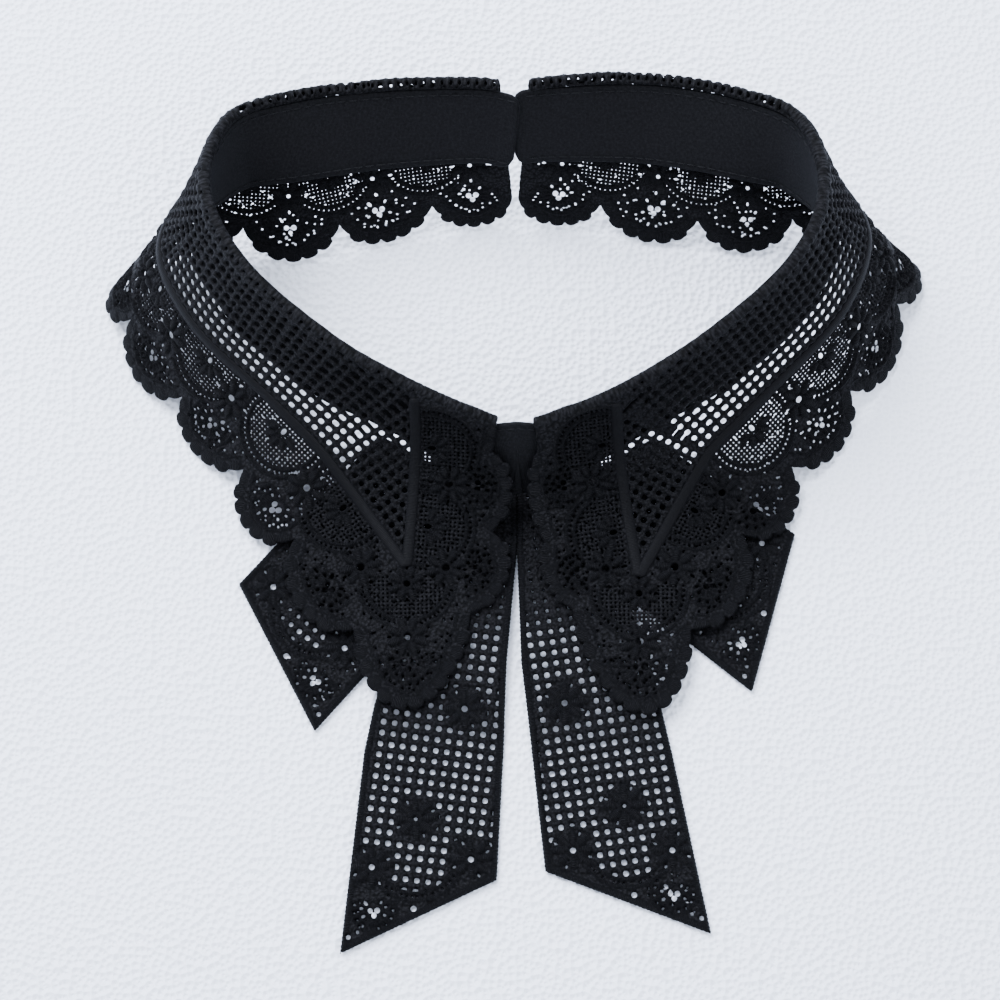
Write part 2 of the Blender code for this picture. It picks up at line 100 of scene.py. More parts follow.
# the leaves' shape, the same tables as the solids
# a section: station, the fold's x, y, z, the edge's x, y, z, the slopes at its top and end, the stand's lean
# a corner: where the scallop starts (station, share), its tip (station, share), its count of lobes
leafPlan = {
    "left": {
        "sections": (
            (0.5, -0.2, 99.6, 40.6, 4.1, 77.5, 0.8, 64, 60, 31),
            (1.0, -6.0, 100.4, 40.1, -6.5, 77.1, 0.8, 63, 59, 32),
            (2.0, -29.5, 100.6, 38.6, -30.5, 72.5, 0.8, 57, 53, 37),
            (3.0, -53.0, 97.0, 39.6, -55.2, 66.9, 0.8, 56, 52, 39),
            (4.0, -70.0, 88.4, 43.1, -83.0, 69.0, 0.9, 68, 60, 20),
            (5.0, -75.0, 67.5, 46.6, -103.8, 56.6, 0.4, 63, 49, -13),
            (6.0, -64.5, 46.3, 45.6, -96.3, 34.6, 0.1, 58, 46, -17),
            (7.0, -43.0, 28.7, 40.1, -80.9, 14.4, 0.0, 55, 33, -18),
            (8.0, -25.8, 20.2, 34.1, -66.4, -8.2, 1.4, 53, 14, -13),
            (9.0, -11.4, 14.7, 29.6, -52.1, -30.6, 2.1, 53, 3, -14),
            (9.5, -7.8, 13.7, 28.4, -39.4, -52.0, 3.0, 53, 0, -18),
            (10.0, -5.0, 12.9, 27.5, -22.5, -59.0, 3.2, 54, 0, -25),
            (10.5, -2.2, 12.0, 26.6, -7.6, -57.0, 3.2, 54, 0, -30),
            (11.0, 4.4, 10.5, 25.2, 2.0, -50.0, 3.2, 54, 0, -33),
        ),
        "corners": ((9.36, 0.85, 9.98, 0.99, 13), (10.41, 0.675, 10.97, 0.58, 7),
                    (10.62, 0.405, 10.97, 0.25, 6), (10.56, 0.115, 10.70, 0.05, 2)),
        "topCorner": 10.62, "cordTip": (9.49, 0.565), "cordTop": 8.33,
    },
    "right": {
        "sections": (
            (0.5, 7.6, 99.6, 40.6, 4.2, 77.5, 0.8, 64, 60, 31),
            (1.0, 14.5, 100.9, 40.1, 14.7, 77.5, 0.8, 63, 59, 32),
            (2.0, 38.9, 102.4, 38.6, 39.8, 72.5, 0.8, 57, 53, 39),
            (3.0, 62.5, 97.6, 39.6, 65.5, 69.5, 0.8, 58, 54, 38),
            (4.0, 78.0, 87.6, 43.1, 92.0, 72.0, 0.9, 68, 60, 19),
            (5.0, 82.2, 66.7, 46.6, 111.6, 63.4, 0.4, 63, 49, -13),
            (6.0, 73.9, 47.7, 45.6, 103.6, 37.6, 0.1, 58, 46, -17),
            (7.0, 54.7, 31.1, 40.1, 89.6, 15.0, 0.0, 55, 33, -18),
            (8.0, 35.3, 19.9, 34.1, 75.2, -7.0, 1.4, 53, 14, -13),
            (9.0, 20.8, 14.3, 29.6, 62.5, -28.6, 2.1, 53, 3, -14),
            (9.5, 17.0, 13.5, 28.4, 50.2, -50.7, 3.0, 53, 0, -18),
            (10.0, 14.2, 12.7, 27.5, 35.5, -60.3, 3.2, 54, 0, -25),
            (10.5, 11.4, 11.9, 26.6, 22.9, -57.0, 3.2, 54, 0, -30),
            (11.0, 4.8, 10.5, 25.2, 15.0, -50.0, 3.2, 54, 0, -33),
        ),
        "corners": ((9.35, 0.87, 9.98, 0.99, 13), (10.50, 0.665, 10.97, 0.60, 7),
                    (10.81, 0.45, 10.97, 0.26, 6), (10.74, 0.115, 10.80, 0.05, 2)),
        "topCorner": 10.73, "cordTip": (9.49, 0.61), "cordTop": 8.43,
    },
}
leafShape = {
    "sectionCount": 90, "stationStep": 0.24, "arcSteps": 61, "bodySteps": 25,
    "foldSteps": (0.25, 0.5, 0.75), "foldRadius": 0.6, "stripHigh": 1.2,
    "leastTurn": 2.0, "kneeShares": (0.05, 0.95), "bendReach": 22.4, "bendShare": 0.9, "bendSteps": 13,
    "ringMiddle": (4.0, 65.0, 0.0), "scallopDeep": 9.0, "lobeDeep": 1.2, "lobes": 7,
    "arcStart": 0.36, "endLobe": 0.15, "cordOffset": 29.0, "cordStart": 0.72, "cordStraight": 8.2,
    "cell": 0.29, "kept": 0.47, "halfThick": 0.5, "edgeRound": 0.45, "backRelief": 0.4,
    "rough": 0.13, "roughPitch": 0.9,
}


def leafSection(fold, edge, fall, outward, slopes):
    shape = leafShape
    radius = shape["foldRadius"]
    level = (edge - fold) * (1, 1, 0)
    ahead = level / np.linalg.norm(level)
    steep, flat = slopes
    body = math.cos(steep) * ahead - math.sin(steep) * np.array([0.0, 0.0, 1.0])
    inPlane = np.array([np.dot(body, fall), np.dot(body, outward)])
    turn = math.pi - math.acos(np.clip(inPlane[0] / np.linalg.norm(inPlane), -1, 1))
    turn = max(turn, shape["leastTurn"]) if inPlane[1] > 0 else math.pi
    high = shape["stripHigh"]
    strip = [fold - radius * outward - k * fall for k in (-high, -high / 2, 0.0)]
    bend = [fold - radius * (math.cos(turn * k) * outward + math.sin(turn * k) * fall)
            for k in shape["foldSteps"] + (1.0,)]
    start = bend[-1]
    level = (edge - start) * (1, 1, 0)
    reach = np.linalg.norm(level)
    ahead = level / reach
    drop = start[2] - edge[2]
    across = (drop - reach * math.tan(flat)) / (math.tan(steep) - math.tan(flat))
    nearest, furthest = shape["kneeShares"]
    across = min(max(across, nearest * reach), furthest * reach)
    knee = start + ahead * across
    knee[2] = max(start[2] - across * math.tan(steep), edge[2])
    back, on = start - knee, edge - knee
    most, share = shape["bendReach"], shape["bendShare"]
    bendFrom = knee + unit(back) * min(most, share * np.linalg.norm(back))
    bendTo = knee + unit(on) * min(most, share * np.linalg.norm(on))
    u = np.linspace(0, 1, shape["bendSteps"])[:, None]
    bow = (1 - u) ** 2 * bendFrom + 2 * u * (1 - u) * knee + u**2 * bendTo
    line = np.vstack([start, bow, edge])
    return np.vstack([strip, bend[:-1], spread(line, np.linspace(0, 1, shape["bodySteps"]))])


def layFlat(grid, guess, rounds=60):
    # keeps each small triangle as rigid as can be
    rows, columns = grid.shape[:2]
    index = np.arange(rows * columns).reshape(rows, columns)
    a, b, c, d = (part.ravel() for part in (index[:-1, :-1], index[1:, :-1], index[1:, 1:], index[:-1, 1:]))
    faces = np.vstack([np.stack([a, b, c], axis=1), np.stack([a, c, d], axis=1)])
    points = grid.reshape(-1, 3)
    first, second = points[faces[:, 1]] - points[faces[:, 0]], points[faces[:, 2]] - points[faces[:, 0]]
    base = np.linalg.norm(first, axis=1)
    local = np.zeros((len(faces), 3, 2))
    local[:, 1, 0] = base
    local[:, 2, 0] = np.einsum("ij,ij->i", first, second) / base
    local[:, 2, 1] = np.linalg.norm(np.cross(first, second), axis=1) / base
    sides = ((0, 1), (1, 2), (2, 0))
    ends = np.vstack([faces[:, side] for side in sides])
    rest = np.vstack([local[:, one] - local[:, other] for one, other in sides])
    matrix = np.zeros((len(points), len(points)))
    for one, other, sign in ((0, 0, 1), (1, 1, 1), (0, 1, -1), (1, 0, -1)):
        np.add.at(matrix, (ends[:, one], ends[:, other]), sign)
    matrix[0, 0] += 1
    solve = np.linalg.inv(matrix)
    flat = guess.reshape(-1, 2).astype(float)
    for _ in range(rounds):
        now = flat[ends[:, 0]] - flat[ends[:, 1]]
        dots = (rest * now).sum(axis=1).reshape(3, -1).sum(axis=0)
        turns = (rest[:, 0] * now[:, 1] - rest[:, 1] * now[:, 0]).reshape(3, -1).sum(axis=0)
        angle = np.tile(np.arctan2(turns, dots), 3)
        cosine, sine = np.cos(angle), np.sin(angle)
        turned = np.stack([rest[:, 0] * cosine - rest[:, 1] * sine,
                           rest[:, 0] * sine + rest[:, 1] * cosine], axis=1)
        target = np.zeros_like(flat)
        np.add.at(target, ends[:, 0], turned)
        np.add.at(target, ends[:, 1], -turned)
        target[0] += flat[0]
        flat = solve @ target
    return flat.reshape(rows, columns, 2)


def foldFrames(fold, lean, middle=None):
    # at each point of a fold line, the way down the stand and the way out from the neck
    run = unit(np.gradient(fold, axis=0))
    level = unit(run * (1, 1, 0))
    inward = np.stack([-level[:, 1], level[:, 0], 0 * level[:, 0]], axis=1)
    if middle is not None:
        inward *= np.sign(np.median(np.einsum("ij,ij->i", inward, np.array(middle) - fold)))
    fall = np.sin(lean) * inward - np.cos(lean) * np.array([0.0, 0.0, 1.0])
    fall = unit(fall - np.einsum("ij,ij->i", fall, run)[:, None] * run)
    outward = np.cross(run, fall)
    outward *= np.sign(-np.einsum("ij,ij->i", outward, inward))[:, None]
    return fall, outward


def shapeLeaf(plan):
    table = np.array(plan["sections"], float)
    stations = np.linspace(table[0, 0], table[-1, 0], leafShape["sectionCount"])
    values = smoothCurve(table[:, 0], table[:, 1:], stations)
    fold, edge = values[:, :3], values[:, 3:6]
    slopes, lean = np.radians(values[:, 6:8]), np.radians(values[:, 8:])
    fall, outward = foldFrames(fold, lean, leafShape["ringMiddle"])
    grid = np.array([leafSection(*parts) for parts in zip(fold, edge, fall, outward, slopes)])
    foldRung = 3 + len(leafShape["foldSteps"])
    lengths = np.linalg.norm(np.diff(grid, axis=1), axis=2)
    across = np.hstack([np.zeros((len(lengths), 1)), np.cumsum(lengths, axis=1)])
    across -= across[:, foldRung][:, None]
    middle = grid[:, foldRung + leafShape["bodySteps"] // 2]
    length = lengthAlong(middle)
    guess = np.stack([np.broadcast_to(length[:, None], across.shape), across], axis=2)
    flat = layFlat(grid, guess)
    return {"stations": stations, "grid": grid, "flat": flat, "foldRung": foldRung, "plan": plan}


def flatAt(leaf, station, share=None, rung=None):
    flat = leaf["flat"]
    i = np.interp(station, leaf["stations"], np.arange(len(leaf["stations"])))
    j = leaf["foldRung"] + share * (leafShape["bodySteps"] - 1) if rung is None else rung
    i0, j0 = min(int(i), flat.shape[0] - 2), min(int(j), flat.shape[1] - 2)
    u, v = i - i0, j - j0
    near = flat[i0, j0] * (1 - v) + flat[i0, j0 + 1] * v
    far = flat[i0 + 1, j0] * (1 - v) + flat[i0 + 1, j0 + 1] * v
    return near * (1 - u) + far * u


def sectionDepth(leaf, station):
    return np.linalg.norm(flatAt(leaf, station, 1.0) - flatAt(leaf, station, 0.0))


def fanArc(start, tip, end):
    # a scallop's smooth edge, a little in from its lobes
    middle = (start + end) / 2
    reach = (tip - middle) * (1 - leafShape["lobeDeep"] / np.linalg.norm(tip - middle))
    first = leafShape["arcStart"]
    angles = np.linspace(first, math.pi - first, leafShape["arcSteps"])[:, None]
    ahead = (np.sin(angles) - math.sin(first)) / (1 - math.sin(first))
    return middle + (start - middle) * np.cos(angles) / math.cos(first) + reach * ahead, reach


def fanLobes(start, tip, end, lobes, perLobe=7):
    arc, reach = fanArc(start, tip, end)
    lengths = lengthAlong(arc)
    tangents = unit(np.gradient(arc, axis=0))
    outward = np.stack([tangents[:, 1], -tangents[:, 0]], axis=1)
    outward *= np.sign(np.sum(outward[len(outward) // 2] * reach))
    points, middles = [], []
    for step in range(lobes * perLobe):
        number, share = step // perLobe, (step % perLobe) / perLobe
        deep = leafShape["lobeDeep"] * (leafShape["endLobe"] if number in (0, lobes - 1) else 1.0)
        place = lengths[-1] * step / (lobes * perLobe)
        spot = np.array([np.interp(place, lengths, column) for column in arc.T])
        push = np.array([np.interp(place, lengths, column) for column in outward.T])
        points.append(spot + deep * math.sqrt(max(0.0, 1 - (2 * share - 1) ** 2)) * push)
        if step % perLobe == perLobe // 2:
            middles.append((spot, push, lengths[-1] / lobes / 2))
    return points, middles


def leafOutline(leaf):
    plan, corners = leaf["plan"], leaf["plan"]["corners"]
    first = leaf["stations"][0]
    deep = leafShape["scallopDeep"]
    rungs = list(range(0, leaf["foldRung"] + 1))
    points = [flatAt(leaf, first, rung=j) for j in rungs]
    notch = 1 - deep / sectionDepth(leaf, first)
    points += [flatAt(leaf, first, notch * k / 8) for k in range(1, 8)]
    fans, lobes = [], []
    for number in range(1, 10):
        ends = [flatAt(leaf, s, 1 - deep / sectionDepth(leaf, s)) for s in (number - 0.5, number + 0.5)]
        if number == 9:
            ends[1] = flatAt(leaf, *corners[0][:2])
        fans.append((ends[0], flatAt(leaf, number, 1.0), ends[1], leafShape["lobes"]))
    for row, after in zip(corners, corners[1:] + ((plan["topCorner"], 0.0),)):
        fans.append((flatAt(leaf, *row[:2]), flatAt(leaf, *row[2:4]), flatAt(leaf, *after[:2]), row[4]))
    for fan in fans:
        edge, middles = fanLobes(*fan)
        points += edge
        lobes += middles
    points += [flatAt(leaf, plan["topCorner"], rung=j) for j in rungs[::-1]]
    step = leafShape["stationStep"]
    points += [flatAt(leaf, s, rung=0) for s in np.arange(plan["topCorner"] - step, first + step / 2, -step)]
    return np.array(points), fans, lobes


def cordLines(leaf):
    plan, shape = leaf["plan"], leafShape
    beside = np.arange(shape["cordStart"] - 0.2, shape["cordStraight"], shape["stationStep"])
    side = [flatAt(leaf, s, 1 - shape["cordOffset"] / sectionDepth(leaf, s)) for s in beside]
    tip = flatAt(leaf, *plan["cordTip"])
    side += [side[-1] + (tip - side[-1]) * k / 7 for k in range(1, 8)]
    top = flatAt(leaf, plan["cordTop"], 0.03)
    front = [tip + (top - tip) * k / 9 for k in range(0, 10)]
    return np.array(side), np.array(front)


# lace: a raster of the flat cloth with its cover, relief and stitches
def emptyLace(low, high, cell):
    columns, rows = (int(n) for n in np.ceil((np.array(high) - low) / cell) + 1)
    x, y = np.meshgrid(low[0] + cell * np.arange(columns), low[1] + cell * np.arange(rows))
    lace = {"x": x, "y": y, "low": np.array(low), "cell": cell, "valid": np.zeros(x.shape, bool)}
    for name in ("cover", "relief", "station", "satin"):
        lace[name] = np.zeros(x.shape)
    lace["place"] = np.zeros(x.shape + (3,))
    lace["normal"] = np.zeros(x.shape + (3,))
    lace["stitch"] = x * 0.7 + y * 0.7
    return lace


def windowOf(lace, low, high):
    first = np.maximum(np.floor((np.array(low) - lace["low"]) / lace["cell"]).astype(int), 0)
    last = np.ceil((np.array(high) - lace["low"]) / lace["cell"]).astype(int) + 1
    return slice(first[1], max(last[1], 0)), slice(first[0], max(last[0], 0))


def rasterLeaf(leaf, cell):
    def wider(grid):
        # one more row on every side, so that the raster reaches past the edge
        before, after = grid[:, :1] * 2 - grid[:, 1:2], grid[:, -1:] * 2 - grid[:, -2:-1]
        grid = np.concatenate([before, grid, after], axis=1)
        before, after = grid[:1] * 2 - grid[1:2], grid[-1:] * 2 - grid[-2:-1]
        return np.concatenate([before, grid, after], axis=0)

    flat, solid = wider(leaf["flat"]), wider(leaf["grid"])
    normal = unit(np.cross(np.gradient(solid, axis=0), np.gradient(solid, axis=1)))
    normal *= np.sign(normal[..., 2].mean())
    count = len(leaf["stations"])
    stations = np.interp(np.arange(-1, count + 1), np.arange(count), leaf["stations"])
    rungs = np.arange(-1.0, solid.shape[1] - 1)
    more = np.stack(np.broadcast_arrays(stations[:, None], rungs[None, :]), axis=2)
    data = np.concatenate([solid, normal, more], axis=2)
    lace = emptyLace(flat.min(axis=(0, 1)) - cell, flat.max(axis=(0, 1)) + cell, cell)
    filled = np.zeros(lace["x"].shape + (8,))
    for i in range(flat.shape[0] - 1):
        for j in range(flat.shape[1] - 1):
            for corners in (((i, j), (i + 1, j), (i + 1, j + 1)), ((i, j), (i + 1, j + 1), (i, j + 1))):
                a, b, c = (flat[corner] for corner in corners)
                low, high = np.minimum(np.minimum(a, b), c), np.maximum(np.maximum(a, b), c)
                rows, columns = windowOf(lace, low, high)
                px, py = lace["x"][rows, columns] - a[0], lace["y"][rows, columns] - a[1]
                size = (b[0] - a[0]) * (c[1] - a[1]) - (b[1] - a[1]) * (c[0] - a[0])
                v = (px * (c[1] - a[1]) - py * (c[0] - a[0])) / size
                w = (py * (b[0] - a[0]) - px * (b[1] - a[1])) / size
                inside = (v >= -1e-6) & (w >= -1e-6) & (v + w <= 1 + 1e-6)
                if inside.any():
                    v, w = v[inside][:, None], w[inside][:, None]
                    one, two, three = (data[corner] for corner in corners)
                    filled[rows, columns][inside] = one * (1 - v - w) + two * v + three * w
                    lace["valid"][rows, columns] |= inside
    lace["place"], lace["normal"] = filled[..., :3], filled[..., 3:6]
    lace["station"], lace["rung"] = filled[..., 6], filled[..., 7]
    return lace


def insideOf(lace, polygon):
    result = np.zeros(lace["x"].shape, bool)
    after = np.roll(polygon, -1, axis=0)
    for row in range(len(result)):
        y = lace["y"][row, 0]
        crossing = (polygon[:, 1] > y) != (after[:, 1] > y)
        start, end = polygon[crossing], after[crossing]
        step = end - start
        cuts = np.sort(start[:, 0] + (y - start[:, 1]) * step[:, 0] / step[:, 1])
        result[row] = np.searchsorted(cuts, lace["x"][row]) % 2 == 1
    return result


def wayTo(lace, line, reach, closed=False):
    # distance to a line and how far along it the nearest point is
    far = np.full(lace["x"].shape, float(reach))
    along = np.zeros(lace["x"].shape)
    ends = np.vstack([line, line[:1]]) if closed else line
    reached = 0.0
    for start, end in zip(ends[:-1], ends[1:]):
        step = end - start
        length = np.linalg.norm(step)
        if length < 1e-6:
            continue
        window = windowOf(lace, np.minimum(start, end) - reach, np.maximum(start, end) + reach)
        px, py = lace["x"][window] - start[0], lace["y"][window] - start[1]
        t = np.clip((px * step[0] + py * step[1]) / length**2, 0, 1)
        distance = np.hypot(px - t * step[0], py - t * step[1])
        near = distance < far[window]
        far[window] = np.where(near, distance, far[window])
        along[window] = np.where(near, reached + t * length, along[window])
        reached += length
    return far, along


def localView(lace, centre, ahead, reach):
    window = windowOf(lace, np.array(centre) - reach, np.array(centre) + reach)
    dx, dy = lace["x"][window] - centre[0], lace["y"][window] - centre[1]
    return window, dx * ahead[1] - dy * ahead[0], dx * ahead[0] + dy * ahead[1]


def oval(u, v, place, size, turn=0.0):
    du, dv = u - place[0], v - place[1]
    cosine, sine = math.cos(turn), math.sin(turn)
    across, on = du * cosine + dv * sine, dv * cosine - du * sine
    return (1 - np.hypot(across / size[0], on / size[1])) * min(size), on


def punch(lace, window, hole):
    lace["cover"][window] = np.minimum(lace["cover"][window], -hole)


def satin(lace, window, inside, high, stitch, soft=0.9, fill=True):
    # a raised form of close stitches that lies on what is there
    if fill:
        whole = np.minimum(inside, lace["edge"][window])
        lace["cover"][window] = np.maximum(lace["cover"][window], whole)
    form = high * np.sqrt(np.clip(inside / soft, 0, 1))
    over = (inside > 0) & (form > lace["relief"][window] - 0.05)
    lace["relief"][window] = np.where(over, form, lace["relief"][window])
    lace["stitch"][window] = np.where(over, stitch, lace["stitch"][window])
    lace["satin"][window] = np.where(over, 1.0, lace["satin"][window])


# motifs
netPlan = {"pitch": 2.7, "hole": 0.72, "square": 2.6, "knot": 0.3, "strand": 0.12,
           "uneven": (0.07, 2.1), "backRow": (2.3, 0.40)}
meshPlan = {"pitch": 1.10, "hole": 0.255, "square": 2.4}
groundPlan = {"bumps": ((1.05, 0.20), (0.6, 0.12)), "level": 0.05, "tableSize": 256,
              "pinPitch": 1.9, "pinStray": 0.2, "pin": 0.30, "pinShare": 0.35, "pinEdge": 1.0,
              "sinkOver": 0.8, "sinkShare": 0.6}
flowerPlan = {"reach": 7.5, "petals": 8, "middle": 3.55, "petal": (1.02, 1.95), "high": 0.72,
              "eyelet": 0.9, "ring": 0.45, "ringHigh": 0.42, "moat": (6.2, -0.25),
              "gapMiddle": 4.8, "gapTurn": 0.39, "gap": (0.32, 0.55)}
crescentPlan = {"radius": 12.4, "arcGap": 2.1, "arcWide": 0.42, "high": 0.5, "step": 1.35, "hole": 0.28,
                "tailHole": 0.2, "backFans": 3, "backTight": 0.06, "behind": 2.5, "petalTurn": 0.62,
                "petalMiddle": 3.6, "petal": (0.95, 1.9), "petalHigh": 0.45, "eyeMiddle": (0, 0.2),
                "eyeRing": (1.3, 1.7), "eyeHigh": 0.3, "eye": (0.62, 1.0), "meshMargin": 0.5}
fanPlan = {"reach": 8.5, "cluster": 10.4, "rings": ((3.3, 9, 0.40), (5.3, 15, 0.30)), "ringSquash": 0.75,
           "ringBehind": 2.2, "open": 0.6, "backOpen": 0.38, "moat": (6.0, -0.15), "arcs": (4.3, 6.3),
           "arcWide": 0.36, "arcHigh": 0.45, "arcBehind": 2.0, "ribs": 18, "ribWide": 0.3,
           "ribFrom": 1.9, "ribTo": 5.9, "ribHigh": 0.4, "ribBehind": 2.4, "trefoil": 0.72,
           "trefoilPlaces": ((-0.95, 0.2), (0.95, 0.2), (0.0, 1.6)), "trefoilSizes": (0.7, 1.1),
           "drop": (2.1, -1.9), "dropSizes": (0.2, 0.5), "dropLong": 1.6, "dropTurn": 0.6}
lobePlan = {"reach": 4.5, "domeIn": 0.7, "domeWide": 0.85, "domeLong": 1.7, "domeHigh": 0.22,
            "lineIn": 3.5, "lineBow": 0.12, "lineWide": 0.34, "lineHigh": 0.35, "holeIn": 4.5, "hole": 0.32}


def squareHoles(u, v, pitch, hole, power):
    a = np.abs((u / pitch) % 1 - 0.5) * pitch
    b = np.abs((v / pitch) % 1 - 0.5) * pitch
    return hole - (a**power + b**power) ** (1 / power)


def drawNet(lace, u, v, region, plan=netPlan, closer=0.0):
    pitch = plan["pitch"]
    uneven, size = plan["uneven"]
    radius = plan["hole"] - closer + uneven * threadNoise(u, v, size, 4)
    hole = np.minimum(squareHoles(u, v, pitch, radius, plan["square"]), region)
    lace["cover"][:] = np.minimum(lace["cover"], -hole)
    # knots where the strands cross
    a, b = (u / pitch + 0.5) % 1 - 0.5, (v / pitch + 0.5) % 1 - 0.5
    knot = plan["knot"] * np.clip(1 - np.hypot(a, b) * pitch / 1.0, 0, 1)
    strand = plan["strand"] * (1 + np.sin(v / pitch * math.tau * 2)) / 2
    lace["relief"][:] = np.where(region > 0, np.maximum(lace["relief"], knot + strand), lace["relief"])
    lace["stitch"][:] = np.where(region > 0, np.where(np.abs(a) < np.abs(b), v, u), lace["stitch"])


def drawGround(lace, region):
    # worked thread all over, with pinholes let through here and there
    plan = groundPlan
    x, y = lace["x"], lace["y"]
    bumps = plan["level"] + sum(high * threadNoise(x, y, pitch, 7 + k)
                                for k, (pitch, high) in enumerate(plan["bumps"]))
    lace["relief"][:] = np.where(region > 0, bumps, lace["relief"])
    i, j = np.floor(x / plan["pinPitch"]).astype(int), np.floor(y / plan["pinPitch"]).astype(int)
    size, stray = plan["tableSize"], plan["pinStray"]
    table = np.random.default_rng(11).uniform(-1, 1, (3, size, size))
    offU, offV, chance = (part[j % size, i % size] for part in table)
    du = x - (i + 0.5 + stray * offU) * plan["pinPitch"]
    dv = y - (j + 0.5 + stray * offV) * plan["pinPitch"]
    hole = plan["pin"] - np.hypot(du, dv)
    hole = np.where(chance < 2 * plan["pinShare"] - 1, hole, -1.0)
    lace["cover"][:] = np.minimum(lace["cover"], -np.minimum(hole, region - plan["pinEdge"]))


def sink(lace, window, r, reach, level):
    # the ground drops round a raised motif
    drop = np.clip((reach - r) / groundPlan["sinkOver"], 0, 1)
    kept = 1 - groundPlan["sinkShare"] * drop
    lace["relief"][window] = lace["relief"][window] * kept + level * drop
    lace["satin"][window] *= 1 - drop


def drawArcs(lace, window, r, angle, radius, hole, forArcs, forHoles):
    # two raised arcs with a row of small holes between them
    plan = crescentPlan
    inner = radius - plan["arcGap"]
    for arc in (radius, inner):
        form = np.minimum(plan["arcWide"] - np.abs(r - arc), forArcs)
        satin(lace, window, form, plan["high"], angle * arc, plan["arcWide"])
    between = (radius + inner) / 2
    step = plan["step"] / between
    across = ((angle / step) % 1 - 0.5) * step * between
    punch(lace, window, np.minimum(hole - np.hypot(across, r - between), forHoles))


def drawCrescent(lace, centre, ahead, radius, petals=5, tight=0.0):
    plan = crescentPlan
    window, u, v = localView(lace, centre, ahead, radius + 2)
    r, angle = np.hypot(u, v), np.arctan2(u, v)
    forward = v + plan["behind"]
    inner = radius - plan["arcGap"]
    hole = squareHoles(u, v, meshPlan["pitch"], meshPlan["hole"] - tight, meshPlan["square"])
    punch(lace, window, np.minimum(hole, np.minimum(inner - plan["meshMargin"] - r, forward)))
    drawArcs(lace, window, r, angle, radius, plan["hole"] - tight, forward, forward)
    for k in range(petals):
        turn = (k - (petals - 1) / 2) * plan["petalTurn"]
        place = (plan["petalMiddle"] * math.sin(turn), plan["petalMiddle"] * math.cos(turn))
        form, on = oval(u, v, place, plan["petal"], -turn)
        satin(lace, window, form, plan["petalHigh"], on)
    ring, on = oval(u, v, plan["eyeMiddle"], plan["eyeRing"])
    satin(lace, window, ring, plan["eyeHigh"], angle * 1.2)
    punch(lace, window, oval(u, v, plan["eyeMiddle"], plan["eye"])[0])


def drawFlower(lace, centre, ahead, size=1.0, eyelet=None):
    plan = flowerPlan
    window, u, v = localView(lace, centre, ahead, plan["reach"] * size)
    r, angle = np.hypot(u, v) / size, np.arctan2(u, v)
    sink(lace, window, r, *plan["moat"])
    for k in range(plan["petals"]):
        turn = (k + 0.5) * math.tau / plan["petals"]
        middle = plan["middle"] * size
        place = (middle * math.sin(turn), middle * math.cos(turn))
        form, on = oval(u, v, place, (plan["petal"][0] * size, plan["petal"][1] * size), -turn)
        satin(lace, window, form, plan["high"], on)
        if k % 2:
            gapTurn, middle = turn + plan["gapTurn"], plan["gapMiddle"] * size
            gap = (middle * math.sin(gapTurn), middle * math.cos(gapTurn))
            punch(lace, window, oval(u, v, gap, plan["gap"], -turn - plan["gapTurn"])[0])
    ring = plan["ring"] - np.abs(r - plan["eyelet"] - plan["ring"])
    satin(lace, window, ring * size, plan["ringHigh"], angle * 1.5)
    punch(lace, window, ((eyelet or plan["eyelet"]) - r) * size)


def drawFan(lace, tip, inward, scale=1.0, seed=0):
    plan = fanPlan
    random = np.random.default_rng(100 + seed)
    middle = np.array(tip) + np.array(inward) * plan["cluster"] * scale
    window, u, v = localView(lace, middle, -np.array(inward), plan["reach"] * scale)
    r, angle = np.hypot(u, v), np.arctan2(u, v)
    for ring, count, hole in plan["rings"]:
        ring *= scale
        step = math.tau / count
        across = ((angle / step) % 1 - 0.5) * step * ring
        chance = random.uniform(0, 1, count)[np.floor(angle / step).astype(int) % count]
        share = plan["backOpen"] if seed < crescentPlan["backFans"] else plan["open"]
        pin = np.where(chance < share, hole * (1.1 - 0.5 * chance), -1.0)
        form = pin - np.hypot(across, (r - ring) * plan["ringSquash"])
        punch(lace, window, np.minimum(form, v + plan["ringBehind"]))
    sink(lace, window, r / scale, *plan["moat"])
    for arc in plan["arcs"]:
        form = np.minimum(plan["arcWide"] - np.abs(r - arc * scale), v + plan["arcBehind"])
        satin(lace, window, form, plan["arcHigh"], angle * arc, plan["arcWide"], fill=False)
    step = math.tau / plan["ribs"]
    across = np.abs(((angle / step) % 1) - 0.5) * step * r
    wide = plan["ribWide"]
    rib = np.minimum(np.minimum(wide - across, r - plan["ribFrom"] * scale), plan["ribTo"] * scale - r)
    satin(lace, window, np.minimum(rib, v + plan["ribBehind"]), plan["ribHigh"], r, wide, fill=False)
    size = plan["trefoil"] * scale
    for place in plan["trefoilPlaces"]:
        part = size * random.uniform(*plan["trefoilSizes"])
        punch(lace, window, oval(u, v, (place[0] * scale, place[1] * scale), (part, part * 1.1))[0])
    for side in (-1, 1):
        part = random.uniform(*plan["dropSizes"])
        place = (side * plan["drop"][0] * scale, plan["drop"][1] * scale)
        drop = oval(u, v, place, (part, part * plan["dropLong"]), side * plan["dropTurn"])[0]
        punch(lace, window, drop)


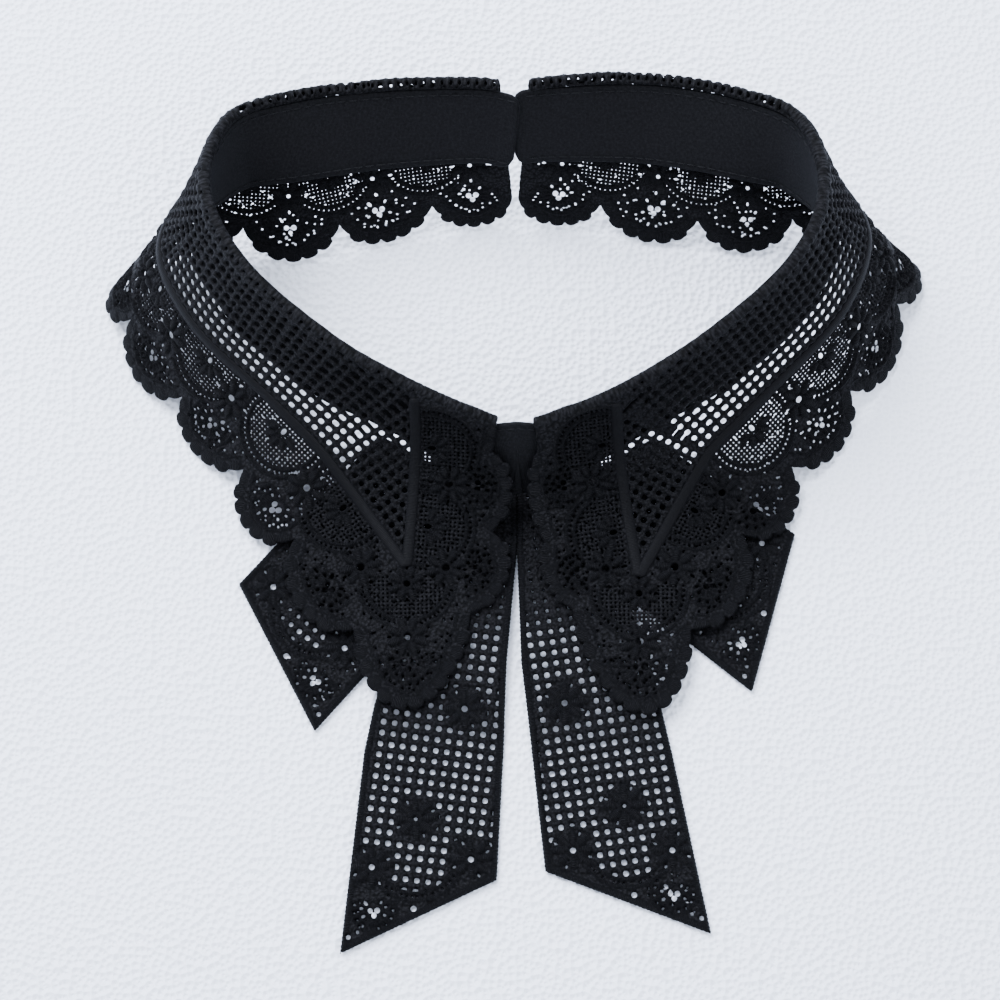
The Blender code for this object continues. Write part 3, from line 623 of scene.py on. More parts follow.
def drawLobes(lace, lobes):
    # each lobe of the edge has a low dome, a stitched line under it and a small hole
    plan = lobePlan
    for spot, push, half in lobes:
        window, u, v = localView(lace, spot, push, plan["reach"])
        dome, on = oval(u, v, (0, -plan["domeIn"]), (half * plan["domeWide"], plan["domeLong"]))
        satin(lace, window, dome, plan["domeHigh"], u, 1.0, fill=False)
        bow = v + plan["lineIn"] - plan["lineBow"] * u**2
        line = np.minimum(plan["lineWide"] - np.abs(bow), half - np.abs(u))
        satin(lace, window, line, plan["lineHigh"], u, plan["lineWide"], fill=False)
        punch(lace, window, oval(u, v, (0, -plan["holeIn"]), (plan["hole"], plan["hole"]))[0])


def nearestOn(line, point):
    dense = spread(line, np.linspace(0, 1, 400))
    return dense[np.argmin(np.linalg.norm(dense - point, axis=1))]


# how the motifs lie on a leaf: margins, ways in from the cord and the edge, and which motifs differ
leafLayout = {
    "netStart": 1.9, "netMargin": 1.3, "netEdge": 0.7, "foldClose": 0.34, "foldReach": 2.6,
    "backUntil": 3.6, "backRung": 2.6, "hiddenFrom": 3.8, "groundMargin": 0.5, "groundEdge": 2.5,
    "plainRungs": 2.5, "without": (8, 9), "crescentOut": 4.2, "crescentRoom": 7.5,
    "tipFan": 9, "tipCrescentOut": 4.4, "tipFlowerOut": 4.6, "tipFlower": 0.9, "tipScale": 1.25,
    "frontScale": 0.9, "flowerIn": 19.6, "frontFlowerIn": 16.5, "backEyelet": 0.55, "far": 9,
}


def drawLeaf(leaf, cell):
    layout, crescent = leafLayout, crescentPlan
    lace = rasterLeaf(leaf, cell)
    outline, fans, lobes = leafOutline(leaf)
    side, front = cordLines(leaf)
    cord = np.vstack([side, front[1:]])
    inside = insideOf(lace, outline)
    far, _ = wayTo(lace, outline, 6.0, closed=True)
    lace["edge"] = np.where(inside, far, -far)
    uneven = threadNoise(lace["x"], lace["y"], leafShape["roughPitch"], 21)
    lace["edge"] = lace["edge"] + leafShape["rough"] * uneven
    lace["cover"][:] = lace["edge"]
    # the panel lies between the seam and the cord
    seam = [flatAt(leaf, s, rung=0) for s in np.linspace(leaf["stations"][0], leaf["plan"]["cordTop"], 40)]
    seamOut = [point - unit(flatAt(leaf, 1, 1.0) - flatAt(leaf, 1, 0.0)) * 8 for point in seam]
    first = side[0] + (side[0] - side[1]) * 3
    panel = np.vstack([seamOut, front[::-1], side[::-1], first, seamOut[0] + (side[0] - side[1]) * 3])
    cordFar, _ = wayTo(lace, np.vstack([first, cord, seamOut[-1]]), 12.0)
    lace["panel"] = np.where(insideOf(lace, panel), cordFar, -cordFar)
    longer = np.vstack([side[0] + (side[0] - side[1]) * 4, side, side[-1] + unit(side[-1] - side[-2]) * 60])
    netAcross, netAlong = wayTo(lace, longer, 90.0)
    plain = np.where(lace["rung"] < leaf["foldRung"] + layout["plainRungs"], -1.0, 1.0)
    ground = np.minimum(-lace["panel"] - layout["groundMargin"], lace["edge"] - layout["groundEdge"])
    drawGround(lace, np.minimum(ground, plain * layout["far"]))
    # the strands lie closer over the fold, and close up on its inner side past the back
    foldLine = np.array([flatAt(leaf, s, 0.0) for s in leaf["stations"]])
    foldFar, _ = wayTo(lace, foldLine, 6.0)
    closer = layout["foldClose"] * np.clip(1.6 - foldFar / layout["foldReach"], 0, 1)
    back = [s for s in leaf["stations"] if s < layout["backUntil"]]
    backLine = np.array([flatAt(leaf, s, rung=layout["backRung"]) for s in back])
    rowFar, rowAlong = wayTo(lace, backLine, 2.0)
    rowPitch, rowHole = netPlan["backRow"]
    row = rowHole - np.hypot(((rowAlong / rowPitch) % 1 - 0.5) * rowPitch, rowFar)
    hidden = (lace["rung"] < leaf["foldRung"] - 0.5) & (lace["station"] > layout["hiddenFrom"])
    region = np.minimum(lace["panel"] - layout["netMargin"], lace["edge"] - layout["netEdge"])
    drawNet(lace, netAlong, netAcross - layout["netStart"], np.where(hidden, -1.0, region), closer=closer)
    lace["cover"][:] = np.minimum(lace["cover"], -row)
    # crescents of fine mesh against the cord, one for each valley
    for number, fan in enumerate(fans[:-1]):
        if number in layout["without"]:
            continue
        spot, valley = nearestOn(cord, fan[2]), fan[2]
        ahead = unit(valley - spot)
        tight = crescent["backTight"] if number < crescent["backFans"] else 0.0
        reach = min(crescent["radius"], np.linalg.norm(valley - spot) - layout["crescentRoom"])
        drawCrescent(lace, spot + ahead * layout["crescentOut"], ahead, reach, tight=tight)
    tipFan = layout["tipFan"]
    tip, pointTip = side[-1], fans[tipFan][1]
    ahead = unit(pointTip - tip)
    drawCrescent(lace, tip + ahead * layout["tipCrescentOut"], ahead, crescent["radius"], petals=0)
    drawLobes(lace, lobes)
    for number, fan in enumerate(fans[:-1]):
        inward = unit(nearestOn(cord, fan[1]) - fan[1])
        scale, flowerIn = 1.0, layout["flowerIn"]
        if number == tipFan:
            inward, scale = -ahead, layout["tipScale"]
        if number > tipFan:
            scale, flowerIn = layout["frontScale"], layout["frontFlowerIn"]
        drawFan(lace, fan[1], inward, scale, number)
        eyelet = layout["backEyelet"] if number < crescent["backFans"] else None
        drawFlower(lace, fan[1] + inward * flowerIn, inward, eyelet=eyelet)
    drawFlower(lace, tip + ahead * layout["tipFlowerOut"], ahead, layout["tipFlower"])
    return lace, cord, side, front


def laceMesh(name, lace, cover, shape):
    rows, columns = cover.shape
    index = np.arange(rows * columns).reshape(rows, columns)
    a, b, c, d = (part.ravel() for part in (index[:-1, :-1], index[:-1, 1:], index[1:, 1:], index[1:, :-1]))
    odd = ((a // columns + a % columns) % 2 == 1)[:, None]
    tris = np.vstack([np.where(odd, np.stack([a, b, c], 1), np.stack([a, b, d], 1)),
                      np.where(odd, np.stack([a, c, d], 1), np.stack([b, c, d], 1))])
    value, valid = cover.ravel(), lace["valid"].ravel()
    inside = value > 0
    tris = tris[valid[tris].all(axis=1) & inside[tris].any(axis=1)]
    count = inside[tris].sum(axis=1)
    full, one, two = tris[count == 3], tris[count == 1], tris[count == 2]
    turn = (np.argmax(inside[one], axis=1)[:, None] + np.arange(3)) % 3
    one = np.take_along_axis(one, turn, axis=1)
    turn = (np.argmin(inside[two], axis=1)[:, None] + np.arange(3)) % 3
    two = np.take_along_axis(two, turn, axis=1)
    # where the cloth's edge crosses the raster
    pairs = np.vstack([one[:, [0, 1]], one[:, [0, 2]], two[:, [2, 0]], two[:, [1, 0]]])
    total = rows * columns
    keys, back = np.unique(np.sort(pairs, axis=1) @ [total, 1], return_inverse=True)
    back = back.ravel()
    low, high = keys // total, keys % total
    nearest, furthest = 0.06, 0.94
    share = np.clip(value[low] / (value[low] - value[high]), nearest, furthest)[:, None]
    used = np.unique(tris[inside[tris]])
    number = np.full(total, -1)
    number[used] = np.arange(len(used))
    place, normal = lace["place"].reshape(-1, 3), lace["normal"].reshape(-1, 3)
    extra = np.stack([lace[k].ravel() for k in ("x", "y", "stitch", "satin")], axis=1)
    middle = place + normal * shape["halfThick"]
    rise = np.sqrt(np.clip(value[used] / shape["edgeRound"], 0, 1))[:, None]
    half = rise * shape["halfThick"]
    relief = lace["relief"].ravel()[used][:, None] * rise
    top = middle[used] + normal[used] * (half + relief)
    bottom = middle[used] - normal[used] * (half + np.clip(relief, -0.1, 0.5) * shape["backRelief"])
    edge = middle[low] * (1 - share) + middle[high] * share
    more = np.vstack([extra[used], extra[used], extra[low] * (1 - share) + extra[high] * share])
    m = len(used)
    cut = back + 2 * m
    n1, n2 = len(one), len(two)
    e1, e2, e3, e4 = cut[:n1], cut[n1:2 * n1], cut[2 * n1:2 * n1 + n2], cut[2 * n1 + n2:]
    topFaces = [number[full], np.stack([number[one[:, 0]], e1, e2], 1),
                np.stack([number[two[:, 1]], number[two[:, 2]], e3], 1),
                np.stack([number[two[:, 1]], e3, e4], 1)]
    faces = np.vstack(topFaces)
    under = faces[:, ::-1].copy()
    under[under < m] += m
    faces = np.vstack([faces, under])
    points = toFrame(np.vstack([top, bottom, edge]))
    piece = makeMesh(name, points, faces, {"Flat": more[:, :2] * 0.01, "Stitch": more[:, 2:]})
    lighten(piece, shape["kept"])
    return piece


def lighten(piece, kept):
    # fewer triangles where the cloth is smooth
    piece.modifiers.new("lighten", "DECIMATE").ratio = kept
    graph = bpy.context.evaluated_depsgraph_get()
    graph.update()
    piece.data = bpy.data.meshes.new_from_object(piece.evaluated_get(graph), depsgraph=graph)
    piece.modifiers.clear()
    piece.data.name = piece.name


def makeMesh(name, points, faces, maps=()):
    sizes = np.full(len(faces), faces.shape[1])
    mesh = bpy.data.meshes.new(name)
    mesh.vertices.add(len(points))
    mesh.vertices.foreach_set("co", np.asarray(points, np.float32).ravel())
    mesh.loops.add(faces.size)
    mesh.loops.foreach_set("vertex_index", faces.ravel().astype(np.int32))
    mesh.polygons.add(len(faces))
    mesh.polygons.foreach_set("loop_start", (np.arange(len(faces)) * sizes).astype(np.int32))
    mesh.update(calc_edges=True)
    for title, values in dict(maps).items():
        layer = mesh.uv_layers.new(name=title)
        layer.data.foreach_set("uv", values[faces.ravel()].astype(np.float32).ravel())
    mesh.polygons.foreach_set("use_smooth", np.ones(len(faces), bool))
    mesh.validate()
    thing = bpy.data.objects.new(name, mesh)
    bpy.context.scene.collection.objects.link(thing)
    return thing


# the raised cord on a leaf
cordPlan = {"wide": 1.45, "high": 0.62, "lift": 0.42, "sides": 12, "step": 0.55}


def sampleLace(lace, points, name):
    spot = (points - lace["low"]) / lace["cell"]
    first = np.floor(spot).astype(int)
    u, v = (spot - first)[:, 0:1], (spot - first)[:, 1:2]
    column, row = first[:, 0], first[:, 1]
    field = lace[name]
    return ((field[row, column] * (1 - u) + field[row, column + 1] * u) * (1 - v)
            + (field[row + 1, column] * (1 - u) + field[row + 1, column + 1] * u) * v)


def ringFaces(count, sides):
    # triangles between one ring of points and the next, with a cap at either end
    index = np.arange(count * sides).reshape(count, sides)
    nextOne = np.roll(index, -1, axis=1)
    quads = np.stack([index[:-1], nextOne[:-1], nextOne[1:], index[1:]], axis=2).reshape(-1, 4)
    tris = np.vstack([quads[:, [0, 2, 1]], quads[:, [0, 3, 2]]])
    caps = [[index[0, 0], index[0, k], index[0, k + 1]] for k in range(1, sides - 1)]
    caps += [[index[-1, 0], index[-1, k + 1], index[-1, k]] for k in range(1, sides - 1)]
    return np.vstack([tris, caps])


def tubeAlong(middle, normal, wide, high, sides, taper=2):
    # a rounded thread along a line, its ends drawn in
    run = unit(np.gradient(middle, axis=0))
    normal = unit(normal)
    across = unit(np.cross(normal, run))
    count = len(middle)
    fade = np.ones(count)
    fade[:taper] = fade[-taper:][::-1] = np.linspace(0.35, 0.9, taper)
    turns = np.arange(sides) * math.tau / sides
    ring = (np.cos(turns)[None, :, None] * across[:, None] * wide
            + np.sin(turns)[None, :, None] * normal[:, None] * high)
    points = (middle[:, None] + ring * fade[:, None, None]).reshape(-1, 3)
    stitch = np.stack([np.repeat(lengthAlong(middle), sides), np.ones(count * sides)], axis=1)
    return points, ringFaces(count, sides), stitch


def joined(parts):
    points, faces, stitch, base = [], [], [], 0
    for p, f, s in parts:
        points.append(p)
        faces.append(f + base)
        stitch.append(s)
        base += len(p)
    return np.vstack(points), np.vstack(faces), np.vstack(stitch)


def makeCord(name, lace, lines):
    parts = []
    for line in lines:
        length = np.linalg.norm(np.diff(line, axis=0), axis=1).sum()
        dense = spread(line, np.linspace(0, 1, int(length / cordPlan["step"])))
        place, normal = sampleLace(lace, dense, "place"), sampleLace(lace, dense, "normal")
        middle = place + unit(normal) * (leafShape["halfThick"] + cordPlan["lift"])
        parts.append(tubeAlong(middle, normal, cordPlan["wide"], cordPlan["high"], cordPlan["sides"]))
    points, faces, stitch = joined(parts)
    return makeMesh(name, toFrame(points), faces, {"Flat": points[:, :2] * 0.01, "Stitch": stitch})


# the flat tails
# dimFrom, dimOver and dim narrow the net's holes near the top of a tail, partly standing in for the dark
# layers beneath and partly painted shade
tailShape = {"halfThick": 0.6, "edgeRound": 0.5, "backRelief": 0.0, "cell": 0.42, "kept": 0.58,
             "edgeWave": (0.09, 1.1), "edgeBand": 0.8, "bandHigh": 0.35, "groundEdge": 1.6, "netEdge": 1.7,
             "netAbove": 1.5, "disc": 5.8, "discUneven": 0.5, "discHigh": 0.1,
             "dimFrom": -38.0, "dimOver": 12.0, "dim": 0.42}
tailNet = {**netPlan, "pitch": 2.83, "hole": 0.70}
# places in the end's own frame: along the slanted end from its sharp corner, then in from it
tailEnd = {"flowers": ((16.4, 16.6), (39.6, 7.6)), "flowerSize": 0.95, "eyelet": 0.8,
           "middleFlower": (31.6, 23.0), "middleEyelet": 0.5, "crescent": (28.0, 15.0),
           "fanTip": (8.6, -2.4), "fanSize": 0.92, "fanSeed": 20,
           "holes": ((21.3, 2.4, 0.75), (3.6, 2.9, 0.6), (6.2, 3.0, 0.45))}
# a row is the left x and y, the right x and y, and the height over the table
tailPlan = {
    "tail_long_left": {
        "rows": ((-14.0, 4.5, 4.5, 4.5, 1.6), (-18.5, -12.0, 4.6, -12.0, 1.6),
                 (-28.5, -45.0, 1.7, -45.0, 1.6), (-32.0, -56.0, 1.3, -56.0, 1.0),
                 (-34.4, -68.0, 1.0, -66.0, 0.0), (-39.7, -120.0, -0.8, -101.3, 0.0)),
        "sharp": (-39.7, -120.0), "blunt": (-0.8, -101.3), "upper": (-9.0, -57.0), "flat": (0.043, 0.122)},
    "tail_long_right": {
        "rows": ((4.5, 4.5, 24.0, 4.5, 1.6), (4.3, -12.0, 28.5, -12.0, 1.6),
                 (5.4, -45.0, 37.6, -45.0, 1.6), (6.7, -56.0, 40.8, -56.0, 1.0),
                 (7.8, -66.0, 43.5, -68.0, 0.0), (11.3, -99.1, 52.5, -115.0, 0.0)),
        "sharp": (52.5, -115.0), "blunt": (11.3, -99.1), "upper": (16.4, -55.5), "flat": (0.043, 0.122)},
    "tail_short_left": {
        "rows": ((-31.5, 18.0, 3.9, -3.0, 0.0), (-67.3, -23.3, -47.0, -62.7, 0.0)),
        "sharp": (-47.0, -62.7), "blunt": (-67.3, -23.3), "upper": None, "flat": (0.044, 0.078)},
    "tail_short_right": {
        "rows": ((4.7, -3.0, 40.1, 17.0, 0.0), (64.2, -52.3, 76.4, -9.6, 0.0)),
        "sharp": (64.2, -52.3), "blunt": (76.4, -9.6), "upper": None, "flat": (0.044, 0.078)},
}


def drawTail(plan):
    rows = np.array(plan["rows"])
    outline = np.vstack([rows[:, 0:2], rows[::-1, 2:4]])
    outline = np.vstack([spread(np.vstack([a, b]), np.linspace(0, 1, 40)[:-1])
                         for a, b in zip(outline, np.roll(outline, -1, axis=0))])
    lace = emptyLace(outline.min(axis=0) - 2, outline.max(axis=0) + 2, tailShape["cell"])
    lace["valid"][:] = True
    x, y = lace["x"], lace["y"]
    height = np.interp(-y, -(rows[:, 1] + rows[:, 3]) / 2, rows[:, 4]) if len(rows) > 2 else 0 * x
    lace["place"] = np.stack([x, y, height], axis=2)
    lace["normal"] = np.zeros(x.shape + (3,)) + (0, 0, 1)
    far, along = wayTo(lace, outline, 60.0, closed=True)
    lace["edge"] = np.where(insideOf(lace, outline), far, -far)
    wave, waveLong = tailShape["edgeWave"]
    lace["edge"] += wave * np.sin(along * math.tau / waveLong)
    lace["cover"][:] = lace["edge"]
    sharp, blunt = np.array(plan["sharp"]), np.array(plan["blunt"])
    endLine = unit(blunt - sharp)
    into = np.array([-endLine[1], endLine[0]])
    into *= np.sign(np.dot(rows[0, 0:2] + rows[0, 2:4] - 2 * sharp, into))

    def spot(place):
        return sharp + endLine * place[0] + into * place[1]

    down = unit((rows[-1, 0:2] + rows[-1, 2:4] - rows[0, 0:2] - rows[0, 2:4]))
    u, v = x * down[1] - y * down[0], x * down[0] + y * down[1]
    # the net stops above the worked end, but for the part inside the crescent
    end = tailEnd
    window, cu, cv = localView(lace, spot(end["crescent"]), -into, 400)
    radius = crescentPlan["radius"] - crescentPlan["arcGap"] - 0.3
    first, second = spot(end["flowers"][0]), spot(end["flowers"][1])
    line = unit(second - first)
    above = (x - first[0]) * -line[1] + (y - first[1]) * line[0]
    above *= np.sign(np.dot(np.array([-line[1], line[0]]), into))
    region = np.maximum(above - tailShape["netAbove"], np.where(above < 2, radius - np.hypot(cu, cv), -9))
    drawGround(lace, np.minimum(lace["edge"] - tailShape["groundEdge"], -1.0 - region))
    # the holes close up towards the top of the tail, so less bright table shows through them; this stands in
    # partly for the dark layers beneath and partly for shade, as painted shade
    dim = tailShape["dim"] * np.clip((y - tailShape["dimFrom"]) / tailShape["dimOver"], 0, 1)
    drawNet(lace, u, v, np.minimum(lace["edge"] - tailShape["netEdge"], region), tailNet, closer=dim)
    band = tailShape["edgeBand"]
    everywhere = (slice(None), slice(None))
    inBand = band - np.abs(lace["edge"] - band)
    satin(lace, everywhere, inBand, tailShape["bandHigh"], along, band, fill=False)
    radius = crescentPlan["radius"]
    window, cu, cv = localView(lace, spot(end["crescent"]), -into, radius + 2)
    r, angle = np.hypot(cu, cv), np.arctan2(cu, cv)
    drawArcs(lace, window, r, angle, radius, crescentPlan["tailHole"], cv - 3, cv - 4)
    inward = unit(spot(end["flowers"][0]) - spot(end["fanTip"]))
    drawFan(lace, spot(end["fanTip"]), inward, end["fanSize"], end["fanSeed"])
    for a, b, size in end["holes"]:
        window, hu, hv = localView(lace, spot((a, b)), into, 3)
        punch(lace, window, oval(hu, hv, (0, 0), (size, size))[0])
    for place in end["flowers"]:
        drawDisc(lace, spot(place), into)
        drawFlower(lace, spot(place), into, end["flowerSize"], eyelet=end["eyelet"])
    if plan["upper"]:
        middle = spot(end["middleFlower"])
        for place, eyelet in ((middle, end["middleEyelet"]), (plan["upper"], end["eyelet"])):
            drawDisc(lace, place, into)
            drawFlower(lace, place, into, eyelet=eyelet)
    return lace


def drawDisc(lace, centre, ahead):
    # worked ground under a flower, in place of the net
    shape = tailShape
    window, u, v = localView(lace, centre, ahead, shape["disc"] + 1)
    disc = shape["disc"] + shape["discUneven"] * threadNoise(u, v, 2.0, 9) - np.hypot(u, v)
    satin(lace, window, disc, shape["discHigh"], u, 3.0)


# the woven stand
standPlan = {
    "ends": ((5.6, 98.0, 40.4, 31), (3.2, 99.4, 40.6, 31)), "middle": (4.6, 12.1, 27.6, -33),
    "corner": 3.2, "thick": 1.2, "high": 22.6, "inset": 0.2, "seamGap": 0.35, "steps": 320, "across": 18,
    "wave": 0.07, "dip": 0.12, "dipWide": 0.7, "topLine": 1.7, "bottomLine": 20.9,
    "stitchLong": 2.3, "stitchEvery": 3.0, "stitchThick": 0.17, "stitchHigh": 0.12, "stitchSteps": 6,
}


def standLines():
    plan = standPlan
    front = 11.0
    rows = [[0.0, *plan["ends"][0]]]
    left, right = leafPlan["left"]["sections"], leafPlan["right"]["sections"]
    rows += [[row[0], *row[1:4], row[9]] for row in left[1:-1]]
    rows.append([front, *plan["middle"]])
    rows += [[2 * front - row[0], *row[1:4], row[9]] for row in right[1:-1]][::-1]
    rows.append([2 * front, *plan["ends"][1]])
    table = np.array(rows, float)
    values = smoothCurve(table[:, 0], table[:, 1:], np.linspace(0, 2 * front, plan["steps"]))
    fold = values[:, :3]
    fall, outward = foldFrames(fold, np.radians(values[:, 3:]))
    top = fold - (leafShape["foldRadius"] - plan["inset"]) * outward
    top += (leafShape["stripHigh"] + plan["seamGap"]) * fall
    return top, fall, outward


def makeStand():
    plan = standPlan
    top, fall, outward = standLines()
    length = lengthAlong(top)
    half, high, across = plan["thick"] / 2, plan["high"], plan["across"]
    # the section goes down the outer side and back up the inner one, round at both edges
    down = np.linspace(half, high - half, across)
    turns = np.linspace(0, math.pi, 7)[1:-1]
    section = [(w, half) for w in down]
    section += [(high - half + half * math.sin(t), half * math.cos(t)) for t in turns]
    section += [(w, -half) for w in down[::-1]]
    section += [(half - half * math.sin(t), -half * math.cos(t)) for t in turns]
    section = np.array(section)
    # the free ends have round corners
    near = np.minimum(length, length[-1] - length)
    drop = plan["corner"] - np.sqrt(plan["corner"] ** 2 - np.clip(plan["corner"] - near, 0, None) ** 2)
    down = drop[:, None] + section[None, :, 0] * (1 - 2 * drop[:, None] / high)
    wave = plan["wave"] * grain(length[:, None], section[None, :, 0], 17.0, 2)
    # the cloth dips a little along the rows of stitches
    for line in (plan["topLine"], plan["bottomLine"]):
        dip = plan["dip"] * np.exp(-((section[None, :, 0] - line) / plan["dipWide"]) ** 2)
        wave = wave - dip * np.sign(section[None, :, 1])
    points = (top[:, None] + down[..., None] * fall[:, None]
              + (section[None, :, 1] + wave)[..., None] * outward[:, None])
    count, sides = len(top), len(section)
    faces = ringFaces(count, sides)
    flat = np.stack([np.repeat(length, sides), np.tile(section[:, 0], count)], axis=1)
    points = points.reshape(-1, 3)
    stand = makeMesh("stand_cloth", toFrame(points), faces, {"Flat": flat * 0.01, "Stitch": flat})
    parts = []
    size, steps = plan["stitchThick"], plan["stitchSteps"]
    arch = np.sin(np.linspace(0, math.pi, steps))[:, None] * plan["stitchHigh"] - 0.05
    for line in (plan["topLine"], plan["bottomLine"]):
        for face in (-1, 1):
            surface = top + line * fall + face * (half - 0.06) * outward
            for start in np.arange(1.0, length[-1] - 3, plan["stitchEvery"]):
                wanted = start + np.linspace(0, plan["stitchLong"], steps)
                middle, normal = (np.stack([np.interp(wanted, length, column) for column in rows.T], axis=1)
                                  for rows in (surface, face * outward))
                parts.append(tubeAlong(middle + normal * arch, normal, size, size, 6))
    points, faces, stitch = joined(parts)
    maps = {"Flat": points[:, :2] * 0.01, "Stitch": stitch}
    stitches = makeMesh("stand_stitches", toFrame(points), faces, maps)
    return stand, stitches, length[-1]


# materials
def newGroup(name, inputs, outputs):
    group = bpy.data.node_groups.new(name, "ShaderNodeTree")
    for title, kind, value in inputs:
        socket = group.interface.new_socket(name=title, in_out="INPUT", socket_type=kind)
        if value is not None:
            socket.default_value = value
    for title, kind in outputs:
        group.interface.new_socket(name=title, in_out="OUTPUT", socket_type=kind)
    return group, group.nodes.new("NodeGroupInput"), group.nodes.new("NodeGroupOutput")


def addNode(tree, kind, settings=(), inputs=()):
    node = tree.nodes.new(kind)
    for title, value in dict(settings).items():
        setattr(node, title, value)
    for title, value in dict(inputs).items():
        if isinstance(value, bpy.types.NodeSocket):
            tree.links.new(value, node.inputs[title])
        else:
            node.inputs[title].default_value = value
    return node


def calc(tree, operation, a, b=0.5, c=None):
    values = {0: a, 1: b} if c is None else {0: a, 1: b, 2: c}
    return addNode(tree, "ShaderNodeMath", {"operation": operation}, values).outputs[0]


def threadGroup():
    # satin stitches side by side, or a plain worked ground, with fibres on both; the Shade output follows the
    # stitch relief, so besides random fibre tone it carries painted shade in the grooves and a painted
    # highlight on the thread crowns
    group, given, made = newGroup(
        "threadWork",
        (("Flat", "NodeSocketVector", None), ("Stitch", "NodeSocketVector", None),
         ("Thread Pitch", "NodeSocketFloat", 0.42), ("Ground Pitch", "NodeSocketFloat", 0.9)),
        (("Height", "NodeSocketFloat"), ("Shade", "NodeSocketFloat")))
    parts = addNode(group, "ShaderNodeSeparateXYZ", inputs={0: given.outputs["Stitch"]})
    millimetres = addNode(group, "ShaderNodeVectorMath", {"operation": "SCALE"},
                          {0: given.outputs["Flat"], "Scale": 100.0}).outputs[0]
    waver = addNode(group, "ShaderNodeTexNoise", {"noise_dimensions": "2D"},
                    {"Vector": millimetres, "Scale": 0.9, "Detail": 2.0}).outputs[0]
    across = calc(group, "DIVIDE", parts.outputs[0], given.outputs["Thread Pitch"])
    across = calc(group, "ADD", across, calc(group, "MULTIPLY", waver, 1.1))
    wave = calc(group, "SINE", calc(group, "MULTIPLY", across, math.tau))
    wave = calc(group, "MULTIPLY_ADD", wave, 0.5, 0.5)
    cell = addNode(group, "ShaderNodeVectorMath", {"operation": "DIVIDE"}, {0: millimetres})
    pitch = addNode(group, "ShaderNodeCombineXYZ",
                    inputs={0: given.outputs["Ground Pitch"], 1: given.outputs["Ground Pitch"], 2: 1.0})
    group.links.new(pitch.outputs[0], cell.inputs[1])
    bumps = addNode(group, "ShaderNodeTexVoronoi", {"voronoi_dimensions": "2D", "feature": "SMOOTH_F1"},
                    {"Vector": cell.outputs[0], "Scale": 1.0, "Smoothness": 0.4}).outputs[0]
    bumps = calc(group, "SUBTRACT", 1.0, bumps)
    fibre = addNode(group, "ShaderNodeTexNoise", {"noise_dimensions": "2D"},
                    {"Vector": millimetres, "Scale": 1.6, "Detail": 4.0, "Roughness": 0.8}).outputs[0]
    mix = addNode(group, "ShaderNodeMix", {"data_type": "FLOAT"},
                  {"Factor": parts.outputs[1], "A": bumps, "B": wave}).outputs[0]
    height = calc(group, "MULTIPLY_ADD", fibre, 0.8, mix)
    group.links.new(height, made.inputs["Height"])
    # Shade: random fibre tone plus the stitch relief, which paints shade into the grooves and light onto the
    # thread crowns
    shade = calc(group, "MULTIPLY_ADD", fibre, 0.7, calc(group, "MULTIPLY", mix, 0.3))
    group.links.new(shade, made.inputs["Shade"])
    return group


def weaveGroup():
    # a fine weave with slubs; its Shade output paints shade into the hollows between yarns and light onto
    # their crowns, over random slub tone
    group, given, made = newGroup(
        "fineWeave",
        (("Flat", "NodeSocketVector", None), ("Yarn Pitch", "NodeSocketFloat", 0.34)),
        (("Height", "NodeSocketFloat"), ("Shade", "NodeSocketFloat")))
    millimetres = addNode(group, "ShaderNodeVectorMath", {"operation": "SCALE"},
                          {0: given.outputs["Flat"], "Scale": 100.0}).outputs[0]
    parts = addNode(group, "ShaderNodeSeparateXYZ", inputs={0: millimetres})
    warp = calc(group, "DIVIDE", parts.outputs[0], given.outputs["Yarn Pitch"])
    weft = calc(group, "DIVIDE", parts.outputs[1], given.outputs["Yarn Pitch"])
    one = calc(group, "SINE", calc(group, "MULTIPLY", calc(group, "ADD", warp, weft), math.pi))
    two = calc(group, "SINE", calc(group, "MULTIPLY", calc(group, "SUBTRACT", warp, weft), math.pi))
    weave = calc(group, "MULTIPLY_ADD", calc(group, "MULTIPLY", one, two), 0.5, 0.5)
    slub = addNode(group, "ShaderNodeTexNoise", {"noise_dimensions": "2D"},
                   {"Vector": millimetres, "Scale": 1.3, "Detail": 4.0, "Roughness": 0.8}).outputs[0]
    group.links.new(calc(group, "MULTIPLY_ADD", slub, 0.6, weave), made.inputs["Height"])
    # Shade: random slub tone plus the weave relief, which paints shade into the hollows and light onto the
    # yarn crowns
    shade = calc(group, "MULTIPLY_ADD", slub, 0.7, calc(group, "MULTIPLY", weave, 0.3))
    group.links.new(shade, made.inputs["Shade"])
    return group


# each look's dark colour is painted shade in the grooves of the thread relief, and its light colour is a
# painted highlight on the crowns, with random fibre tone between
clothLooks = {
    "laceBlack": {"dark": (0.0007, 0.0007, 0.0009), "light": (0.0108, 0.0109, 0.0128),
                  "rough": (0.45, 0.7), "bump": 1.0, "deep": 0.0005, "sheen": 0.008, "specular": 0.055,
                  "pitch": 0.42, "stops": (0.44, 0.74)},
    "cordBlack": {"dark": (0.0008, 0.0008, 0.0010), "light": (0.0042, 0.0043, 0.0052),
                  "rough": (0.5, 0.7), "bump": 0.6, "deep": 0.00014, "sheen": 0.01, "specular": 0.06,
                  "pitch": 0.38, "stops": (0.2, 0.9)},
    "standBlack": {"dark": (0.0010, 0.0011, 0.0014), "light": (0.0071, 0.0073, 0.0086),
                   "rough": (0.6, 0.85), "bump": 0.6, "deep": 0.00008, "sheen": 0.015, "specular": 0.08,
                   "pitch": 0.34, "stops": (0.43, 0.66)},
    "sewingBlack": {"dark": (0.0015, 0.0016, 0.0019), "light": (0.008, 0.0083, 0.0098),
                    "rough": (0.45, 0.6), "bump": 0.4, "deep": 0.00005, "sheen": 0.01, "specular": 0.1,
                    "pitch": 0.3, "stops": (0.2, 0.9)},
}
sheenLook = {"rough": 0.6, "tint": (0.6, 0.65, 0.8)}


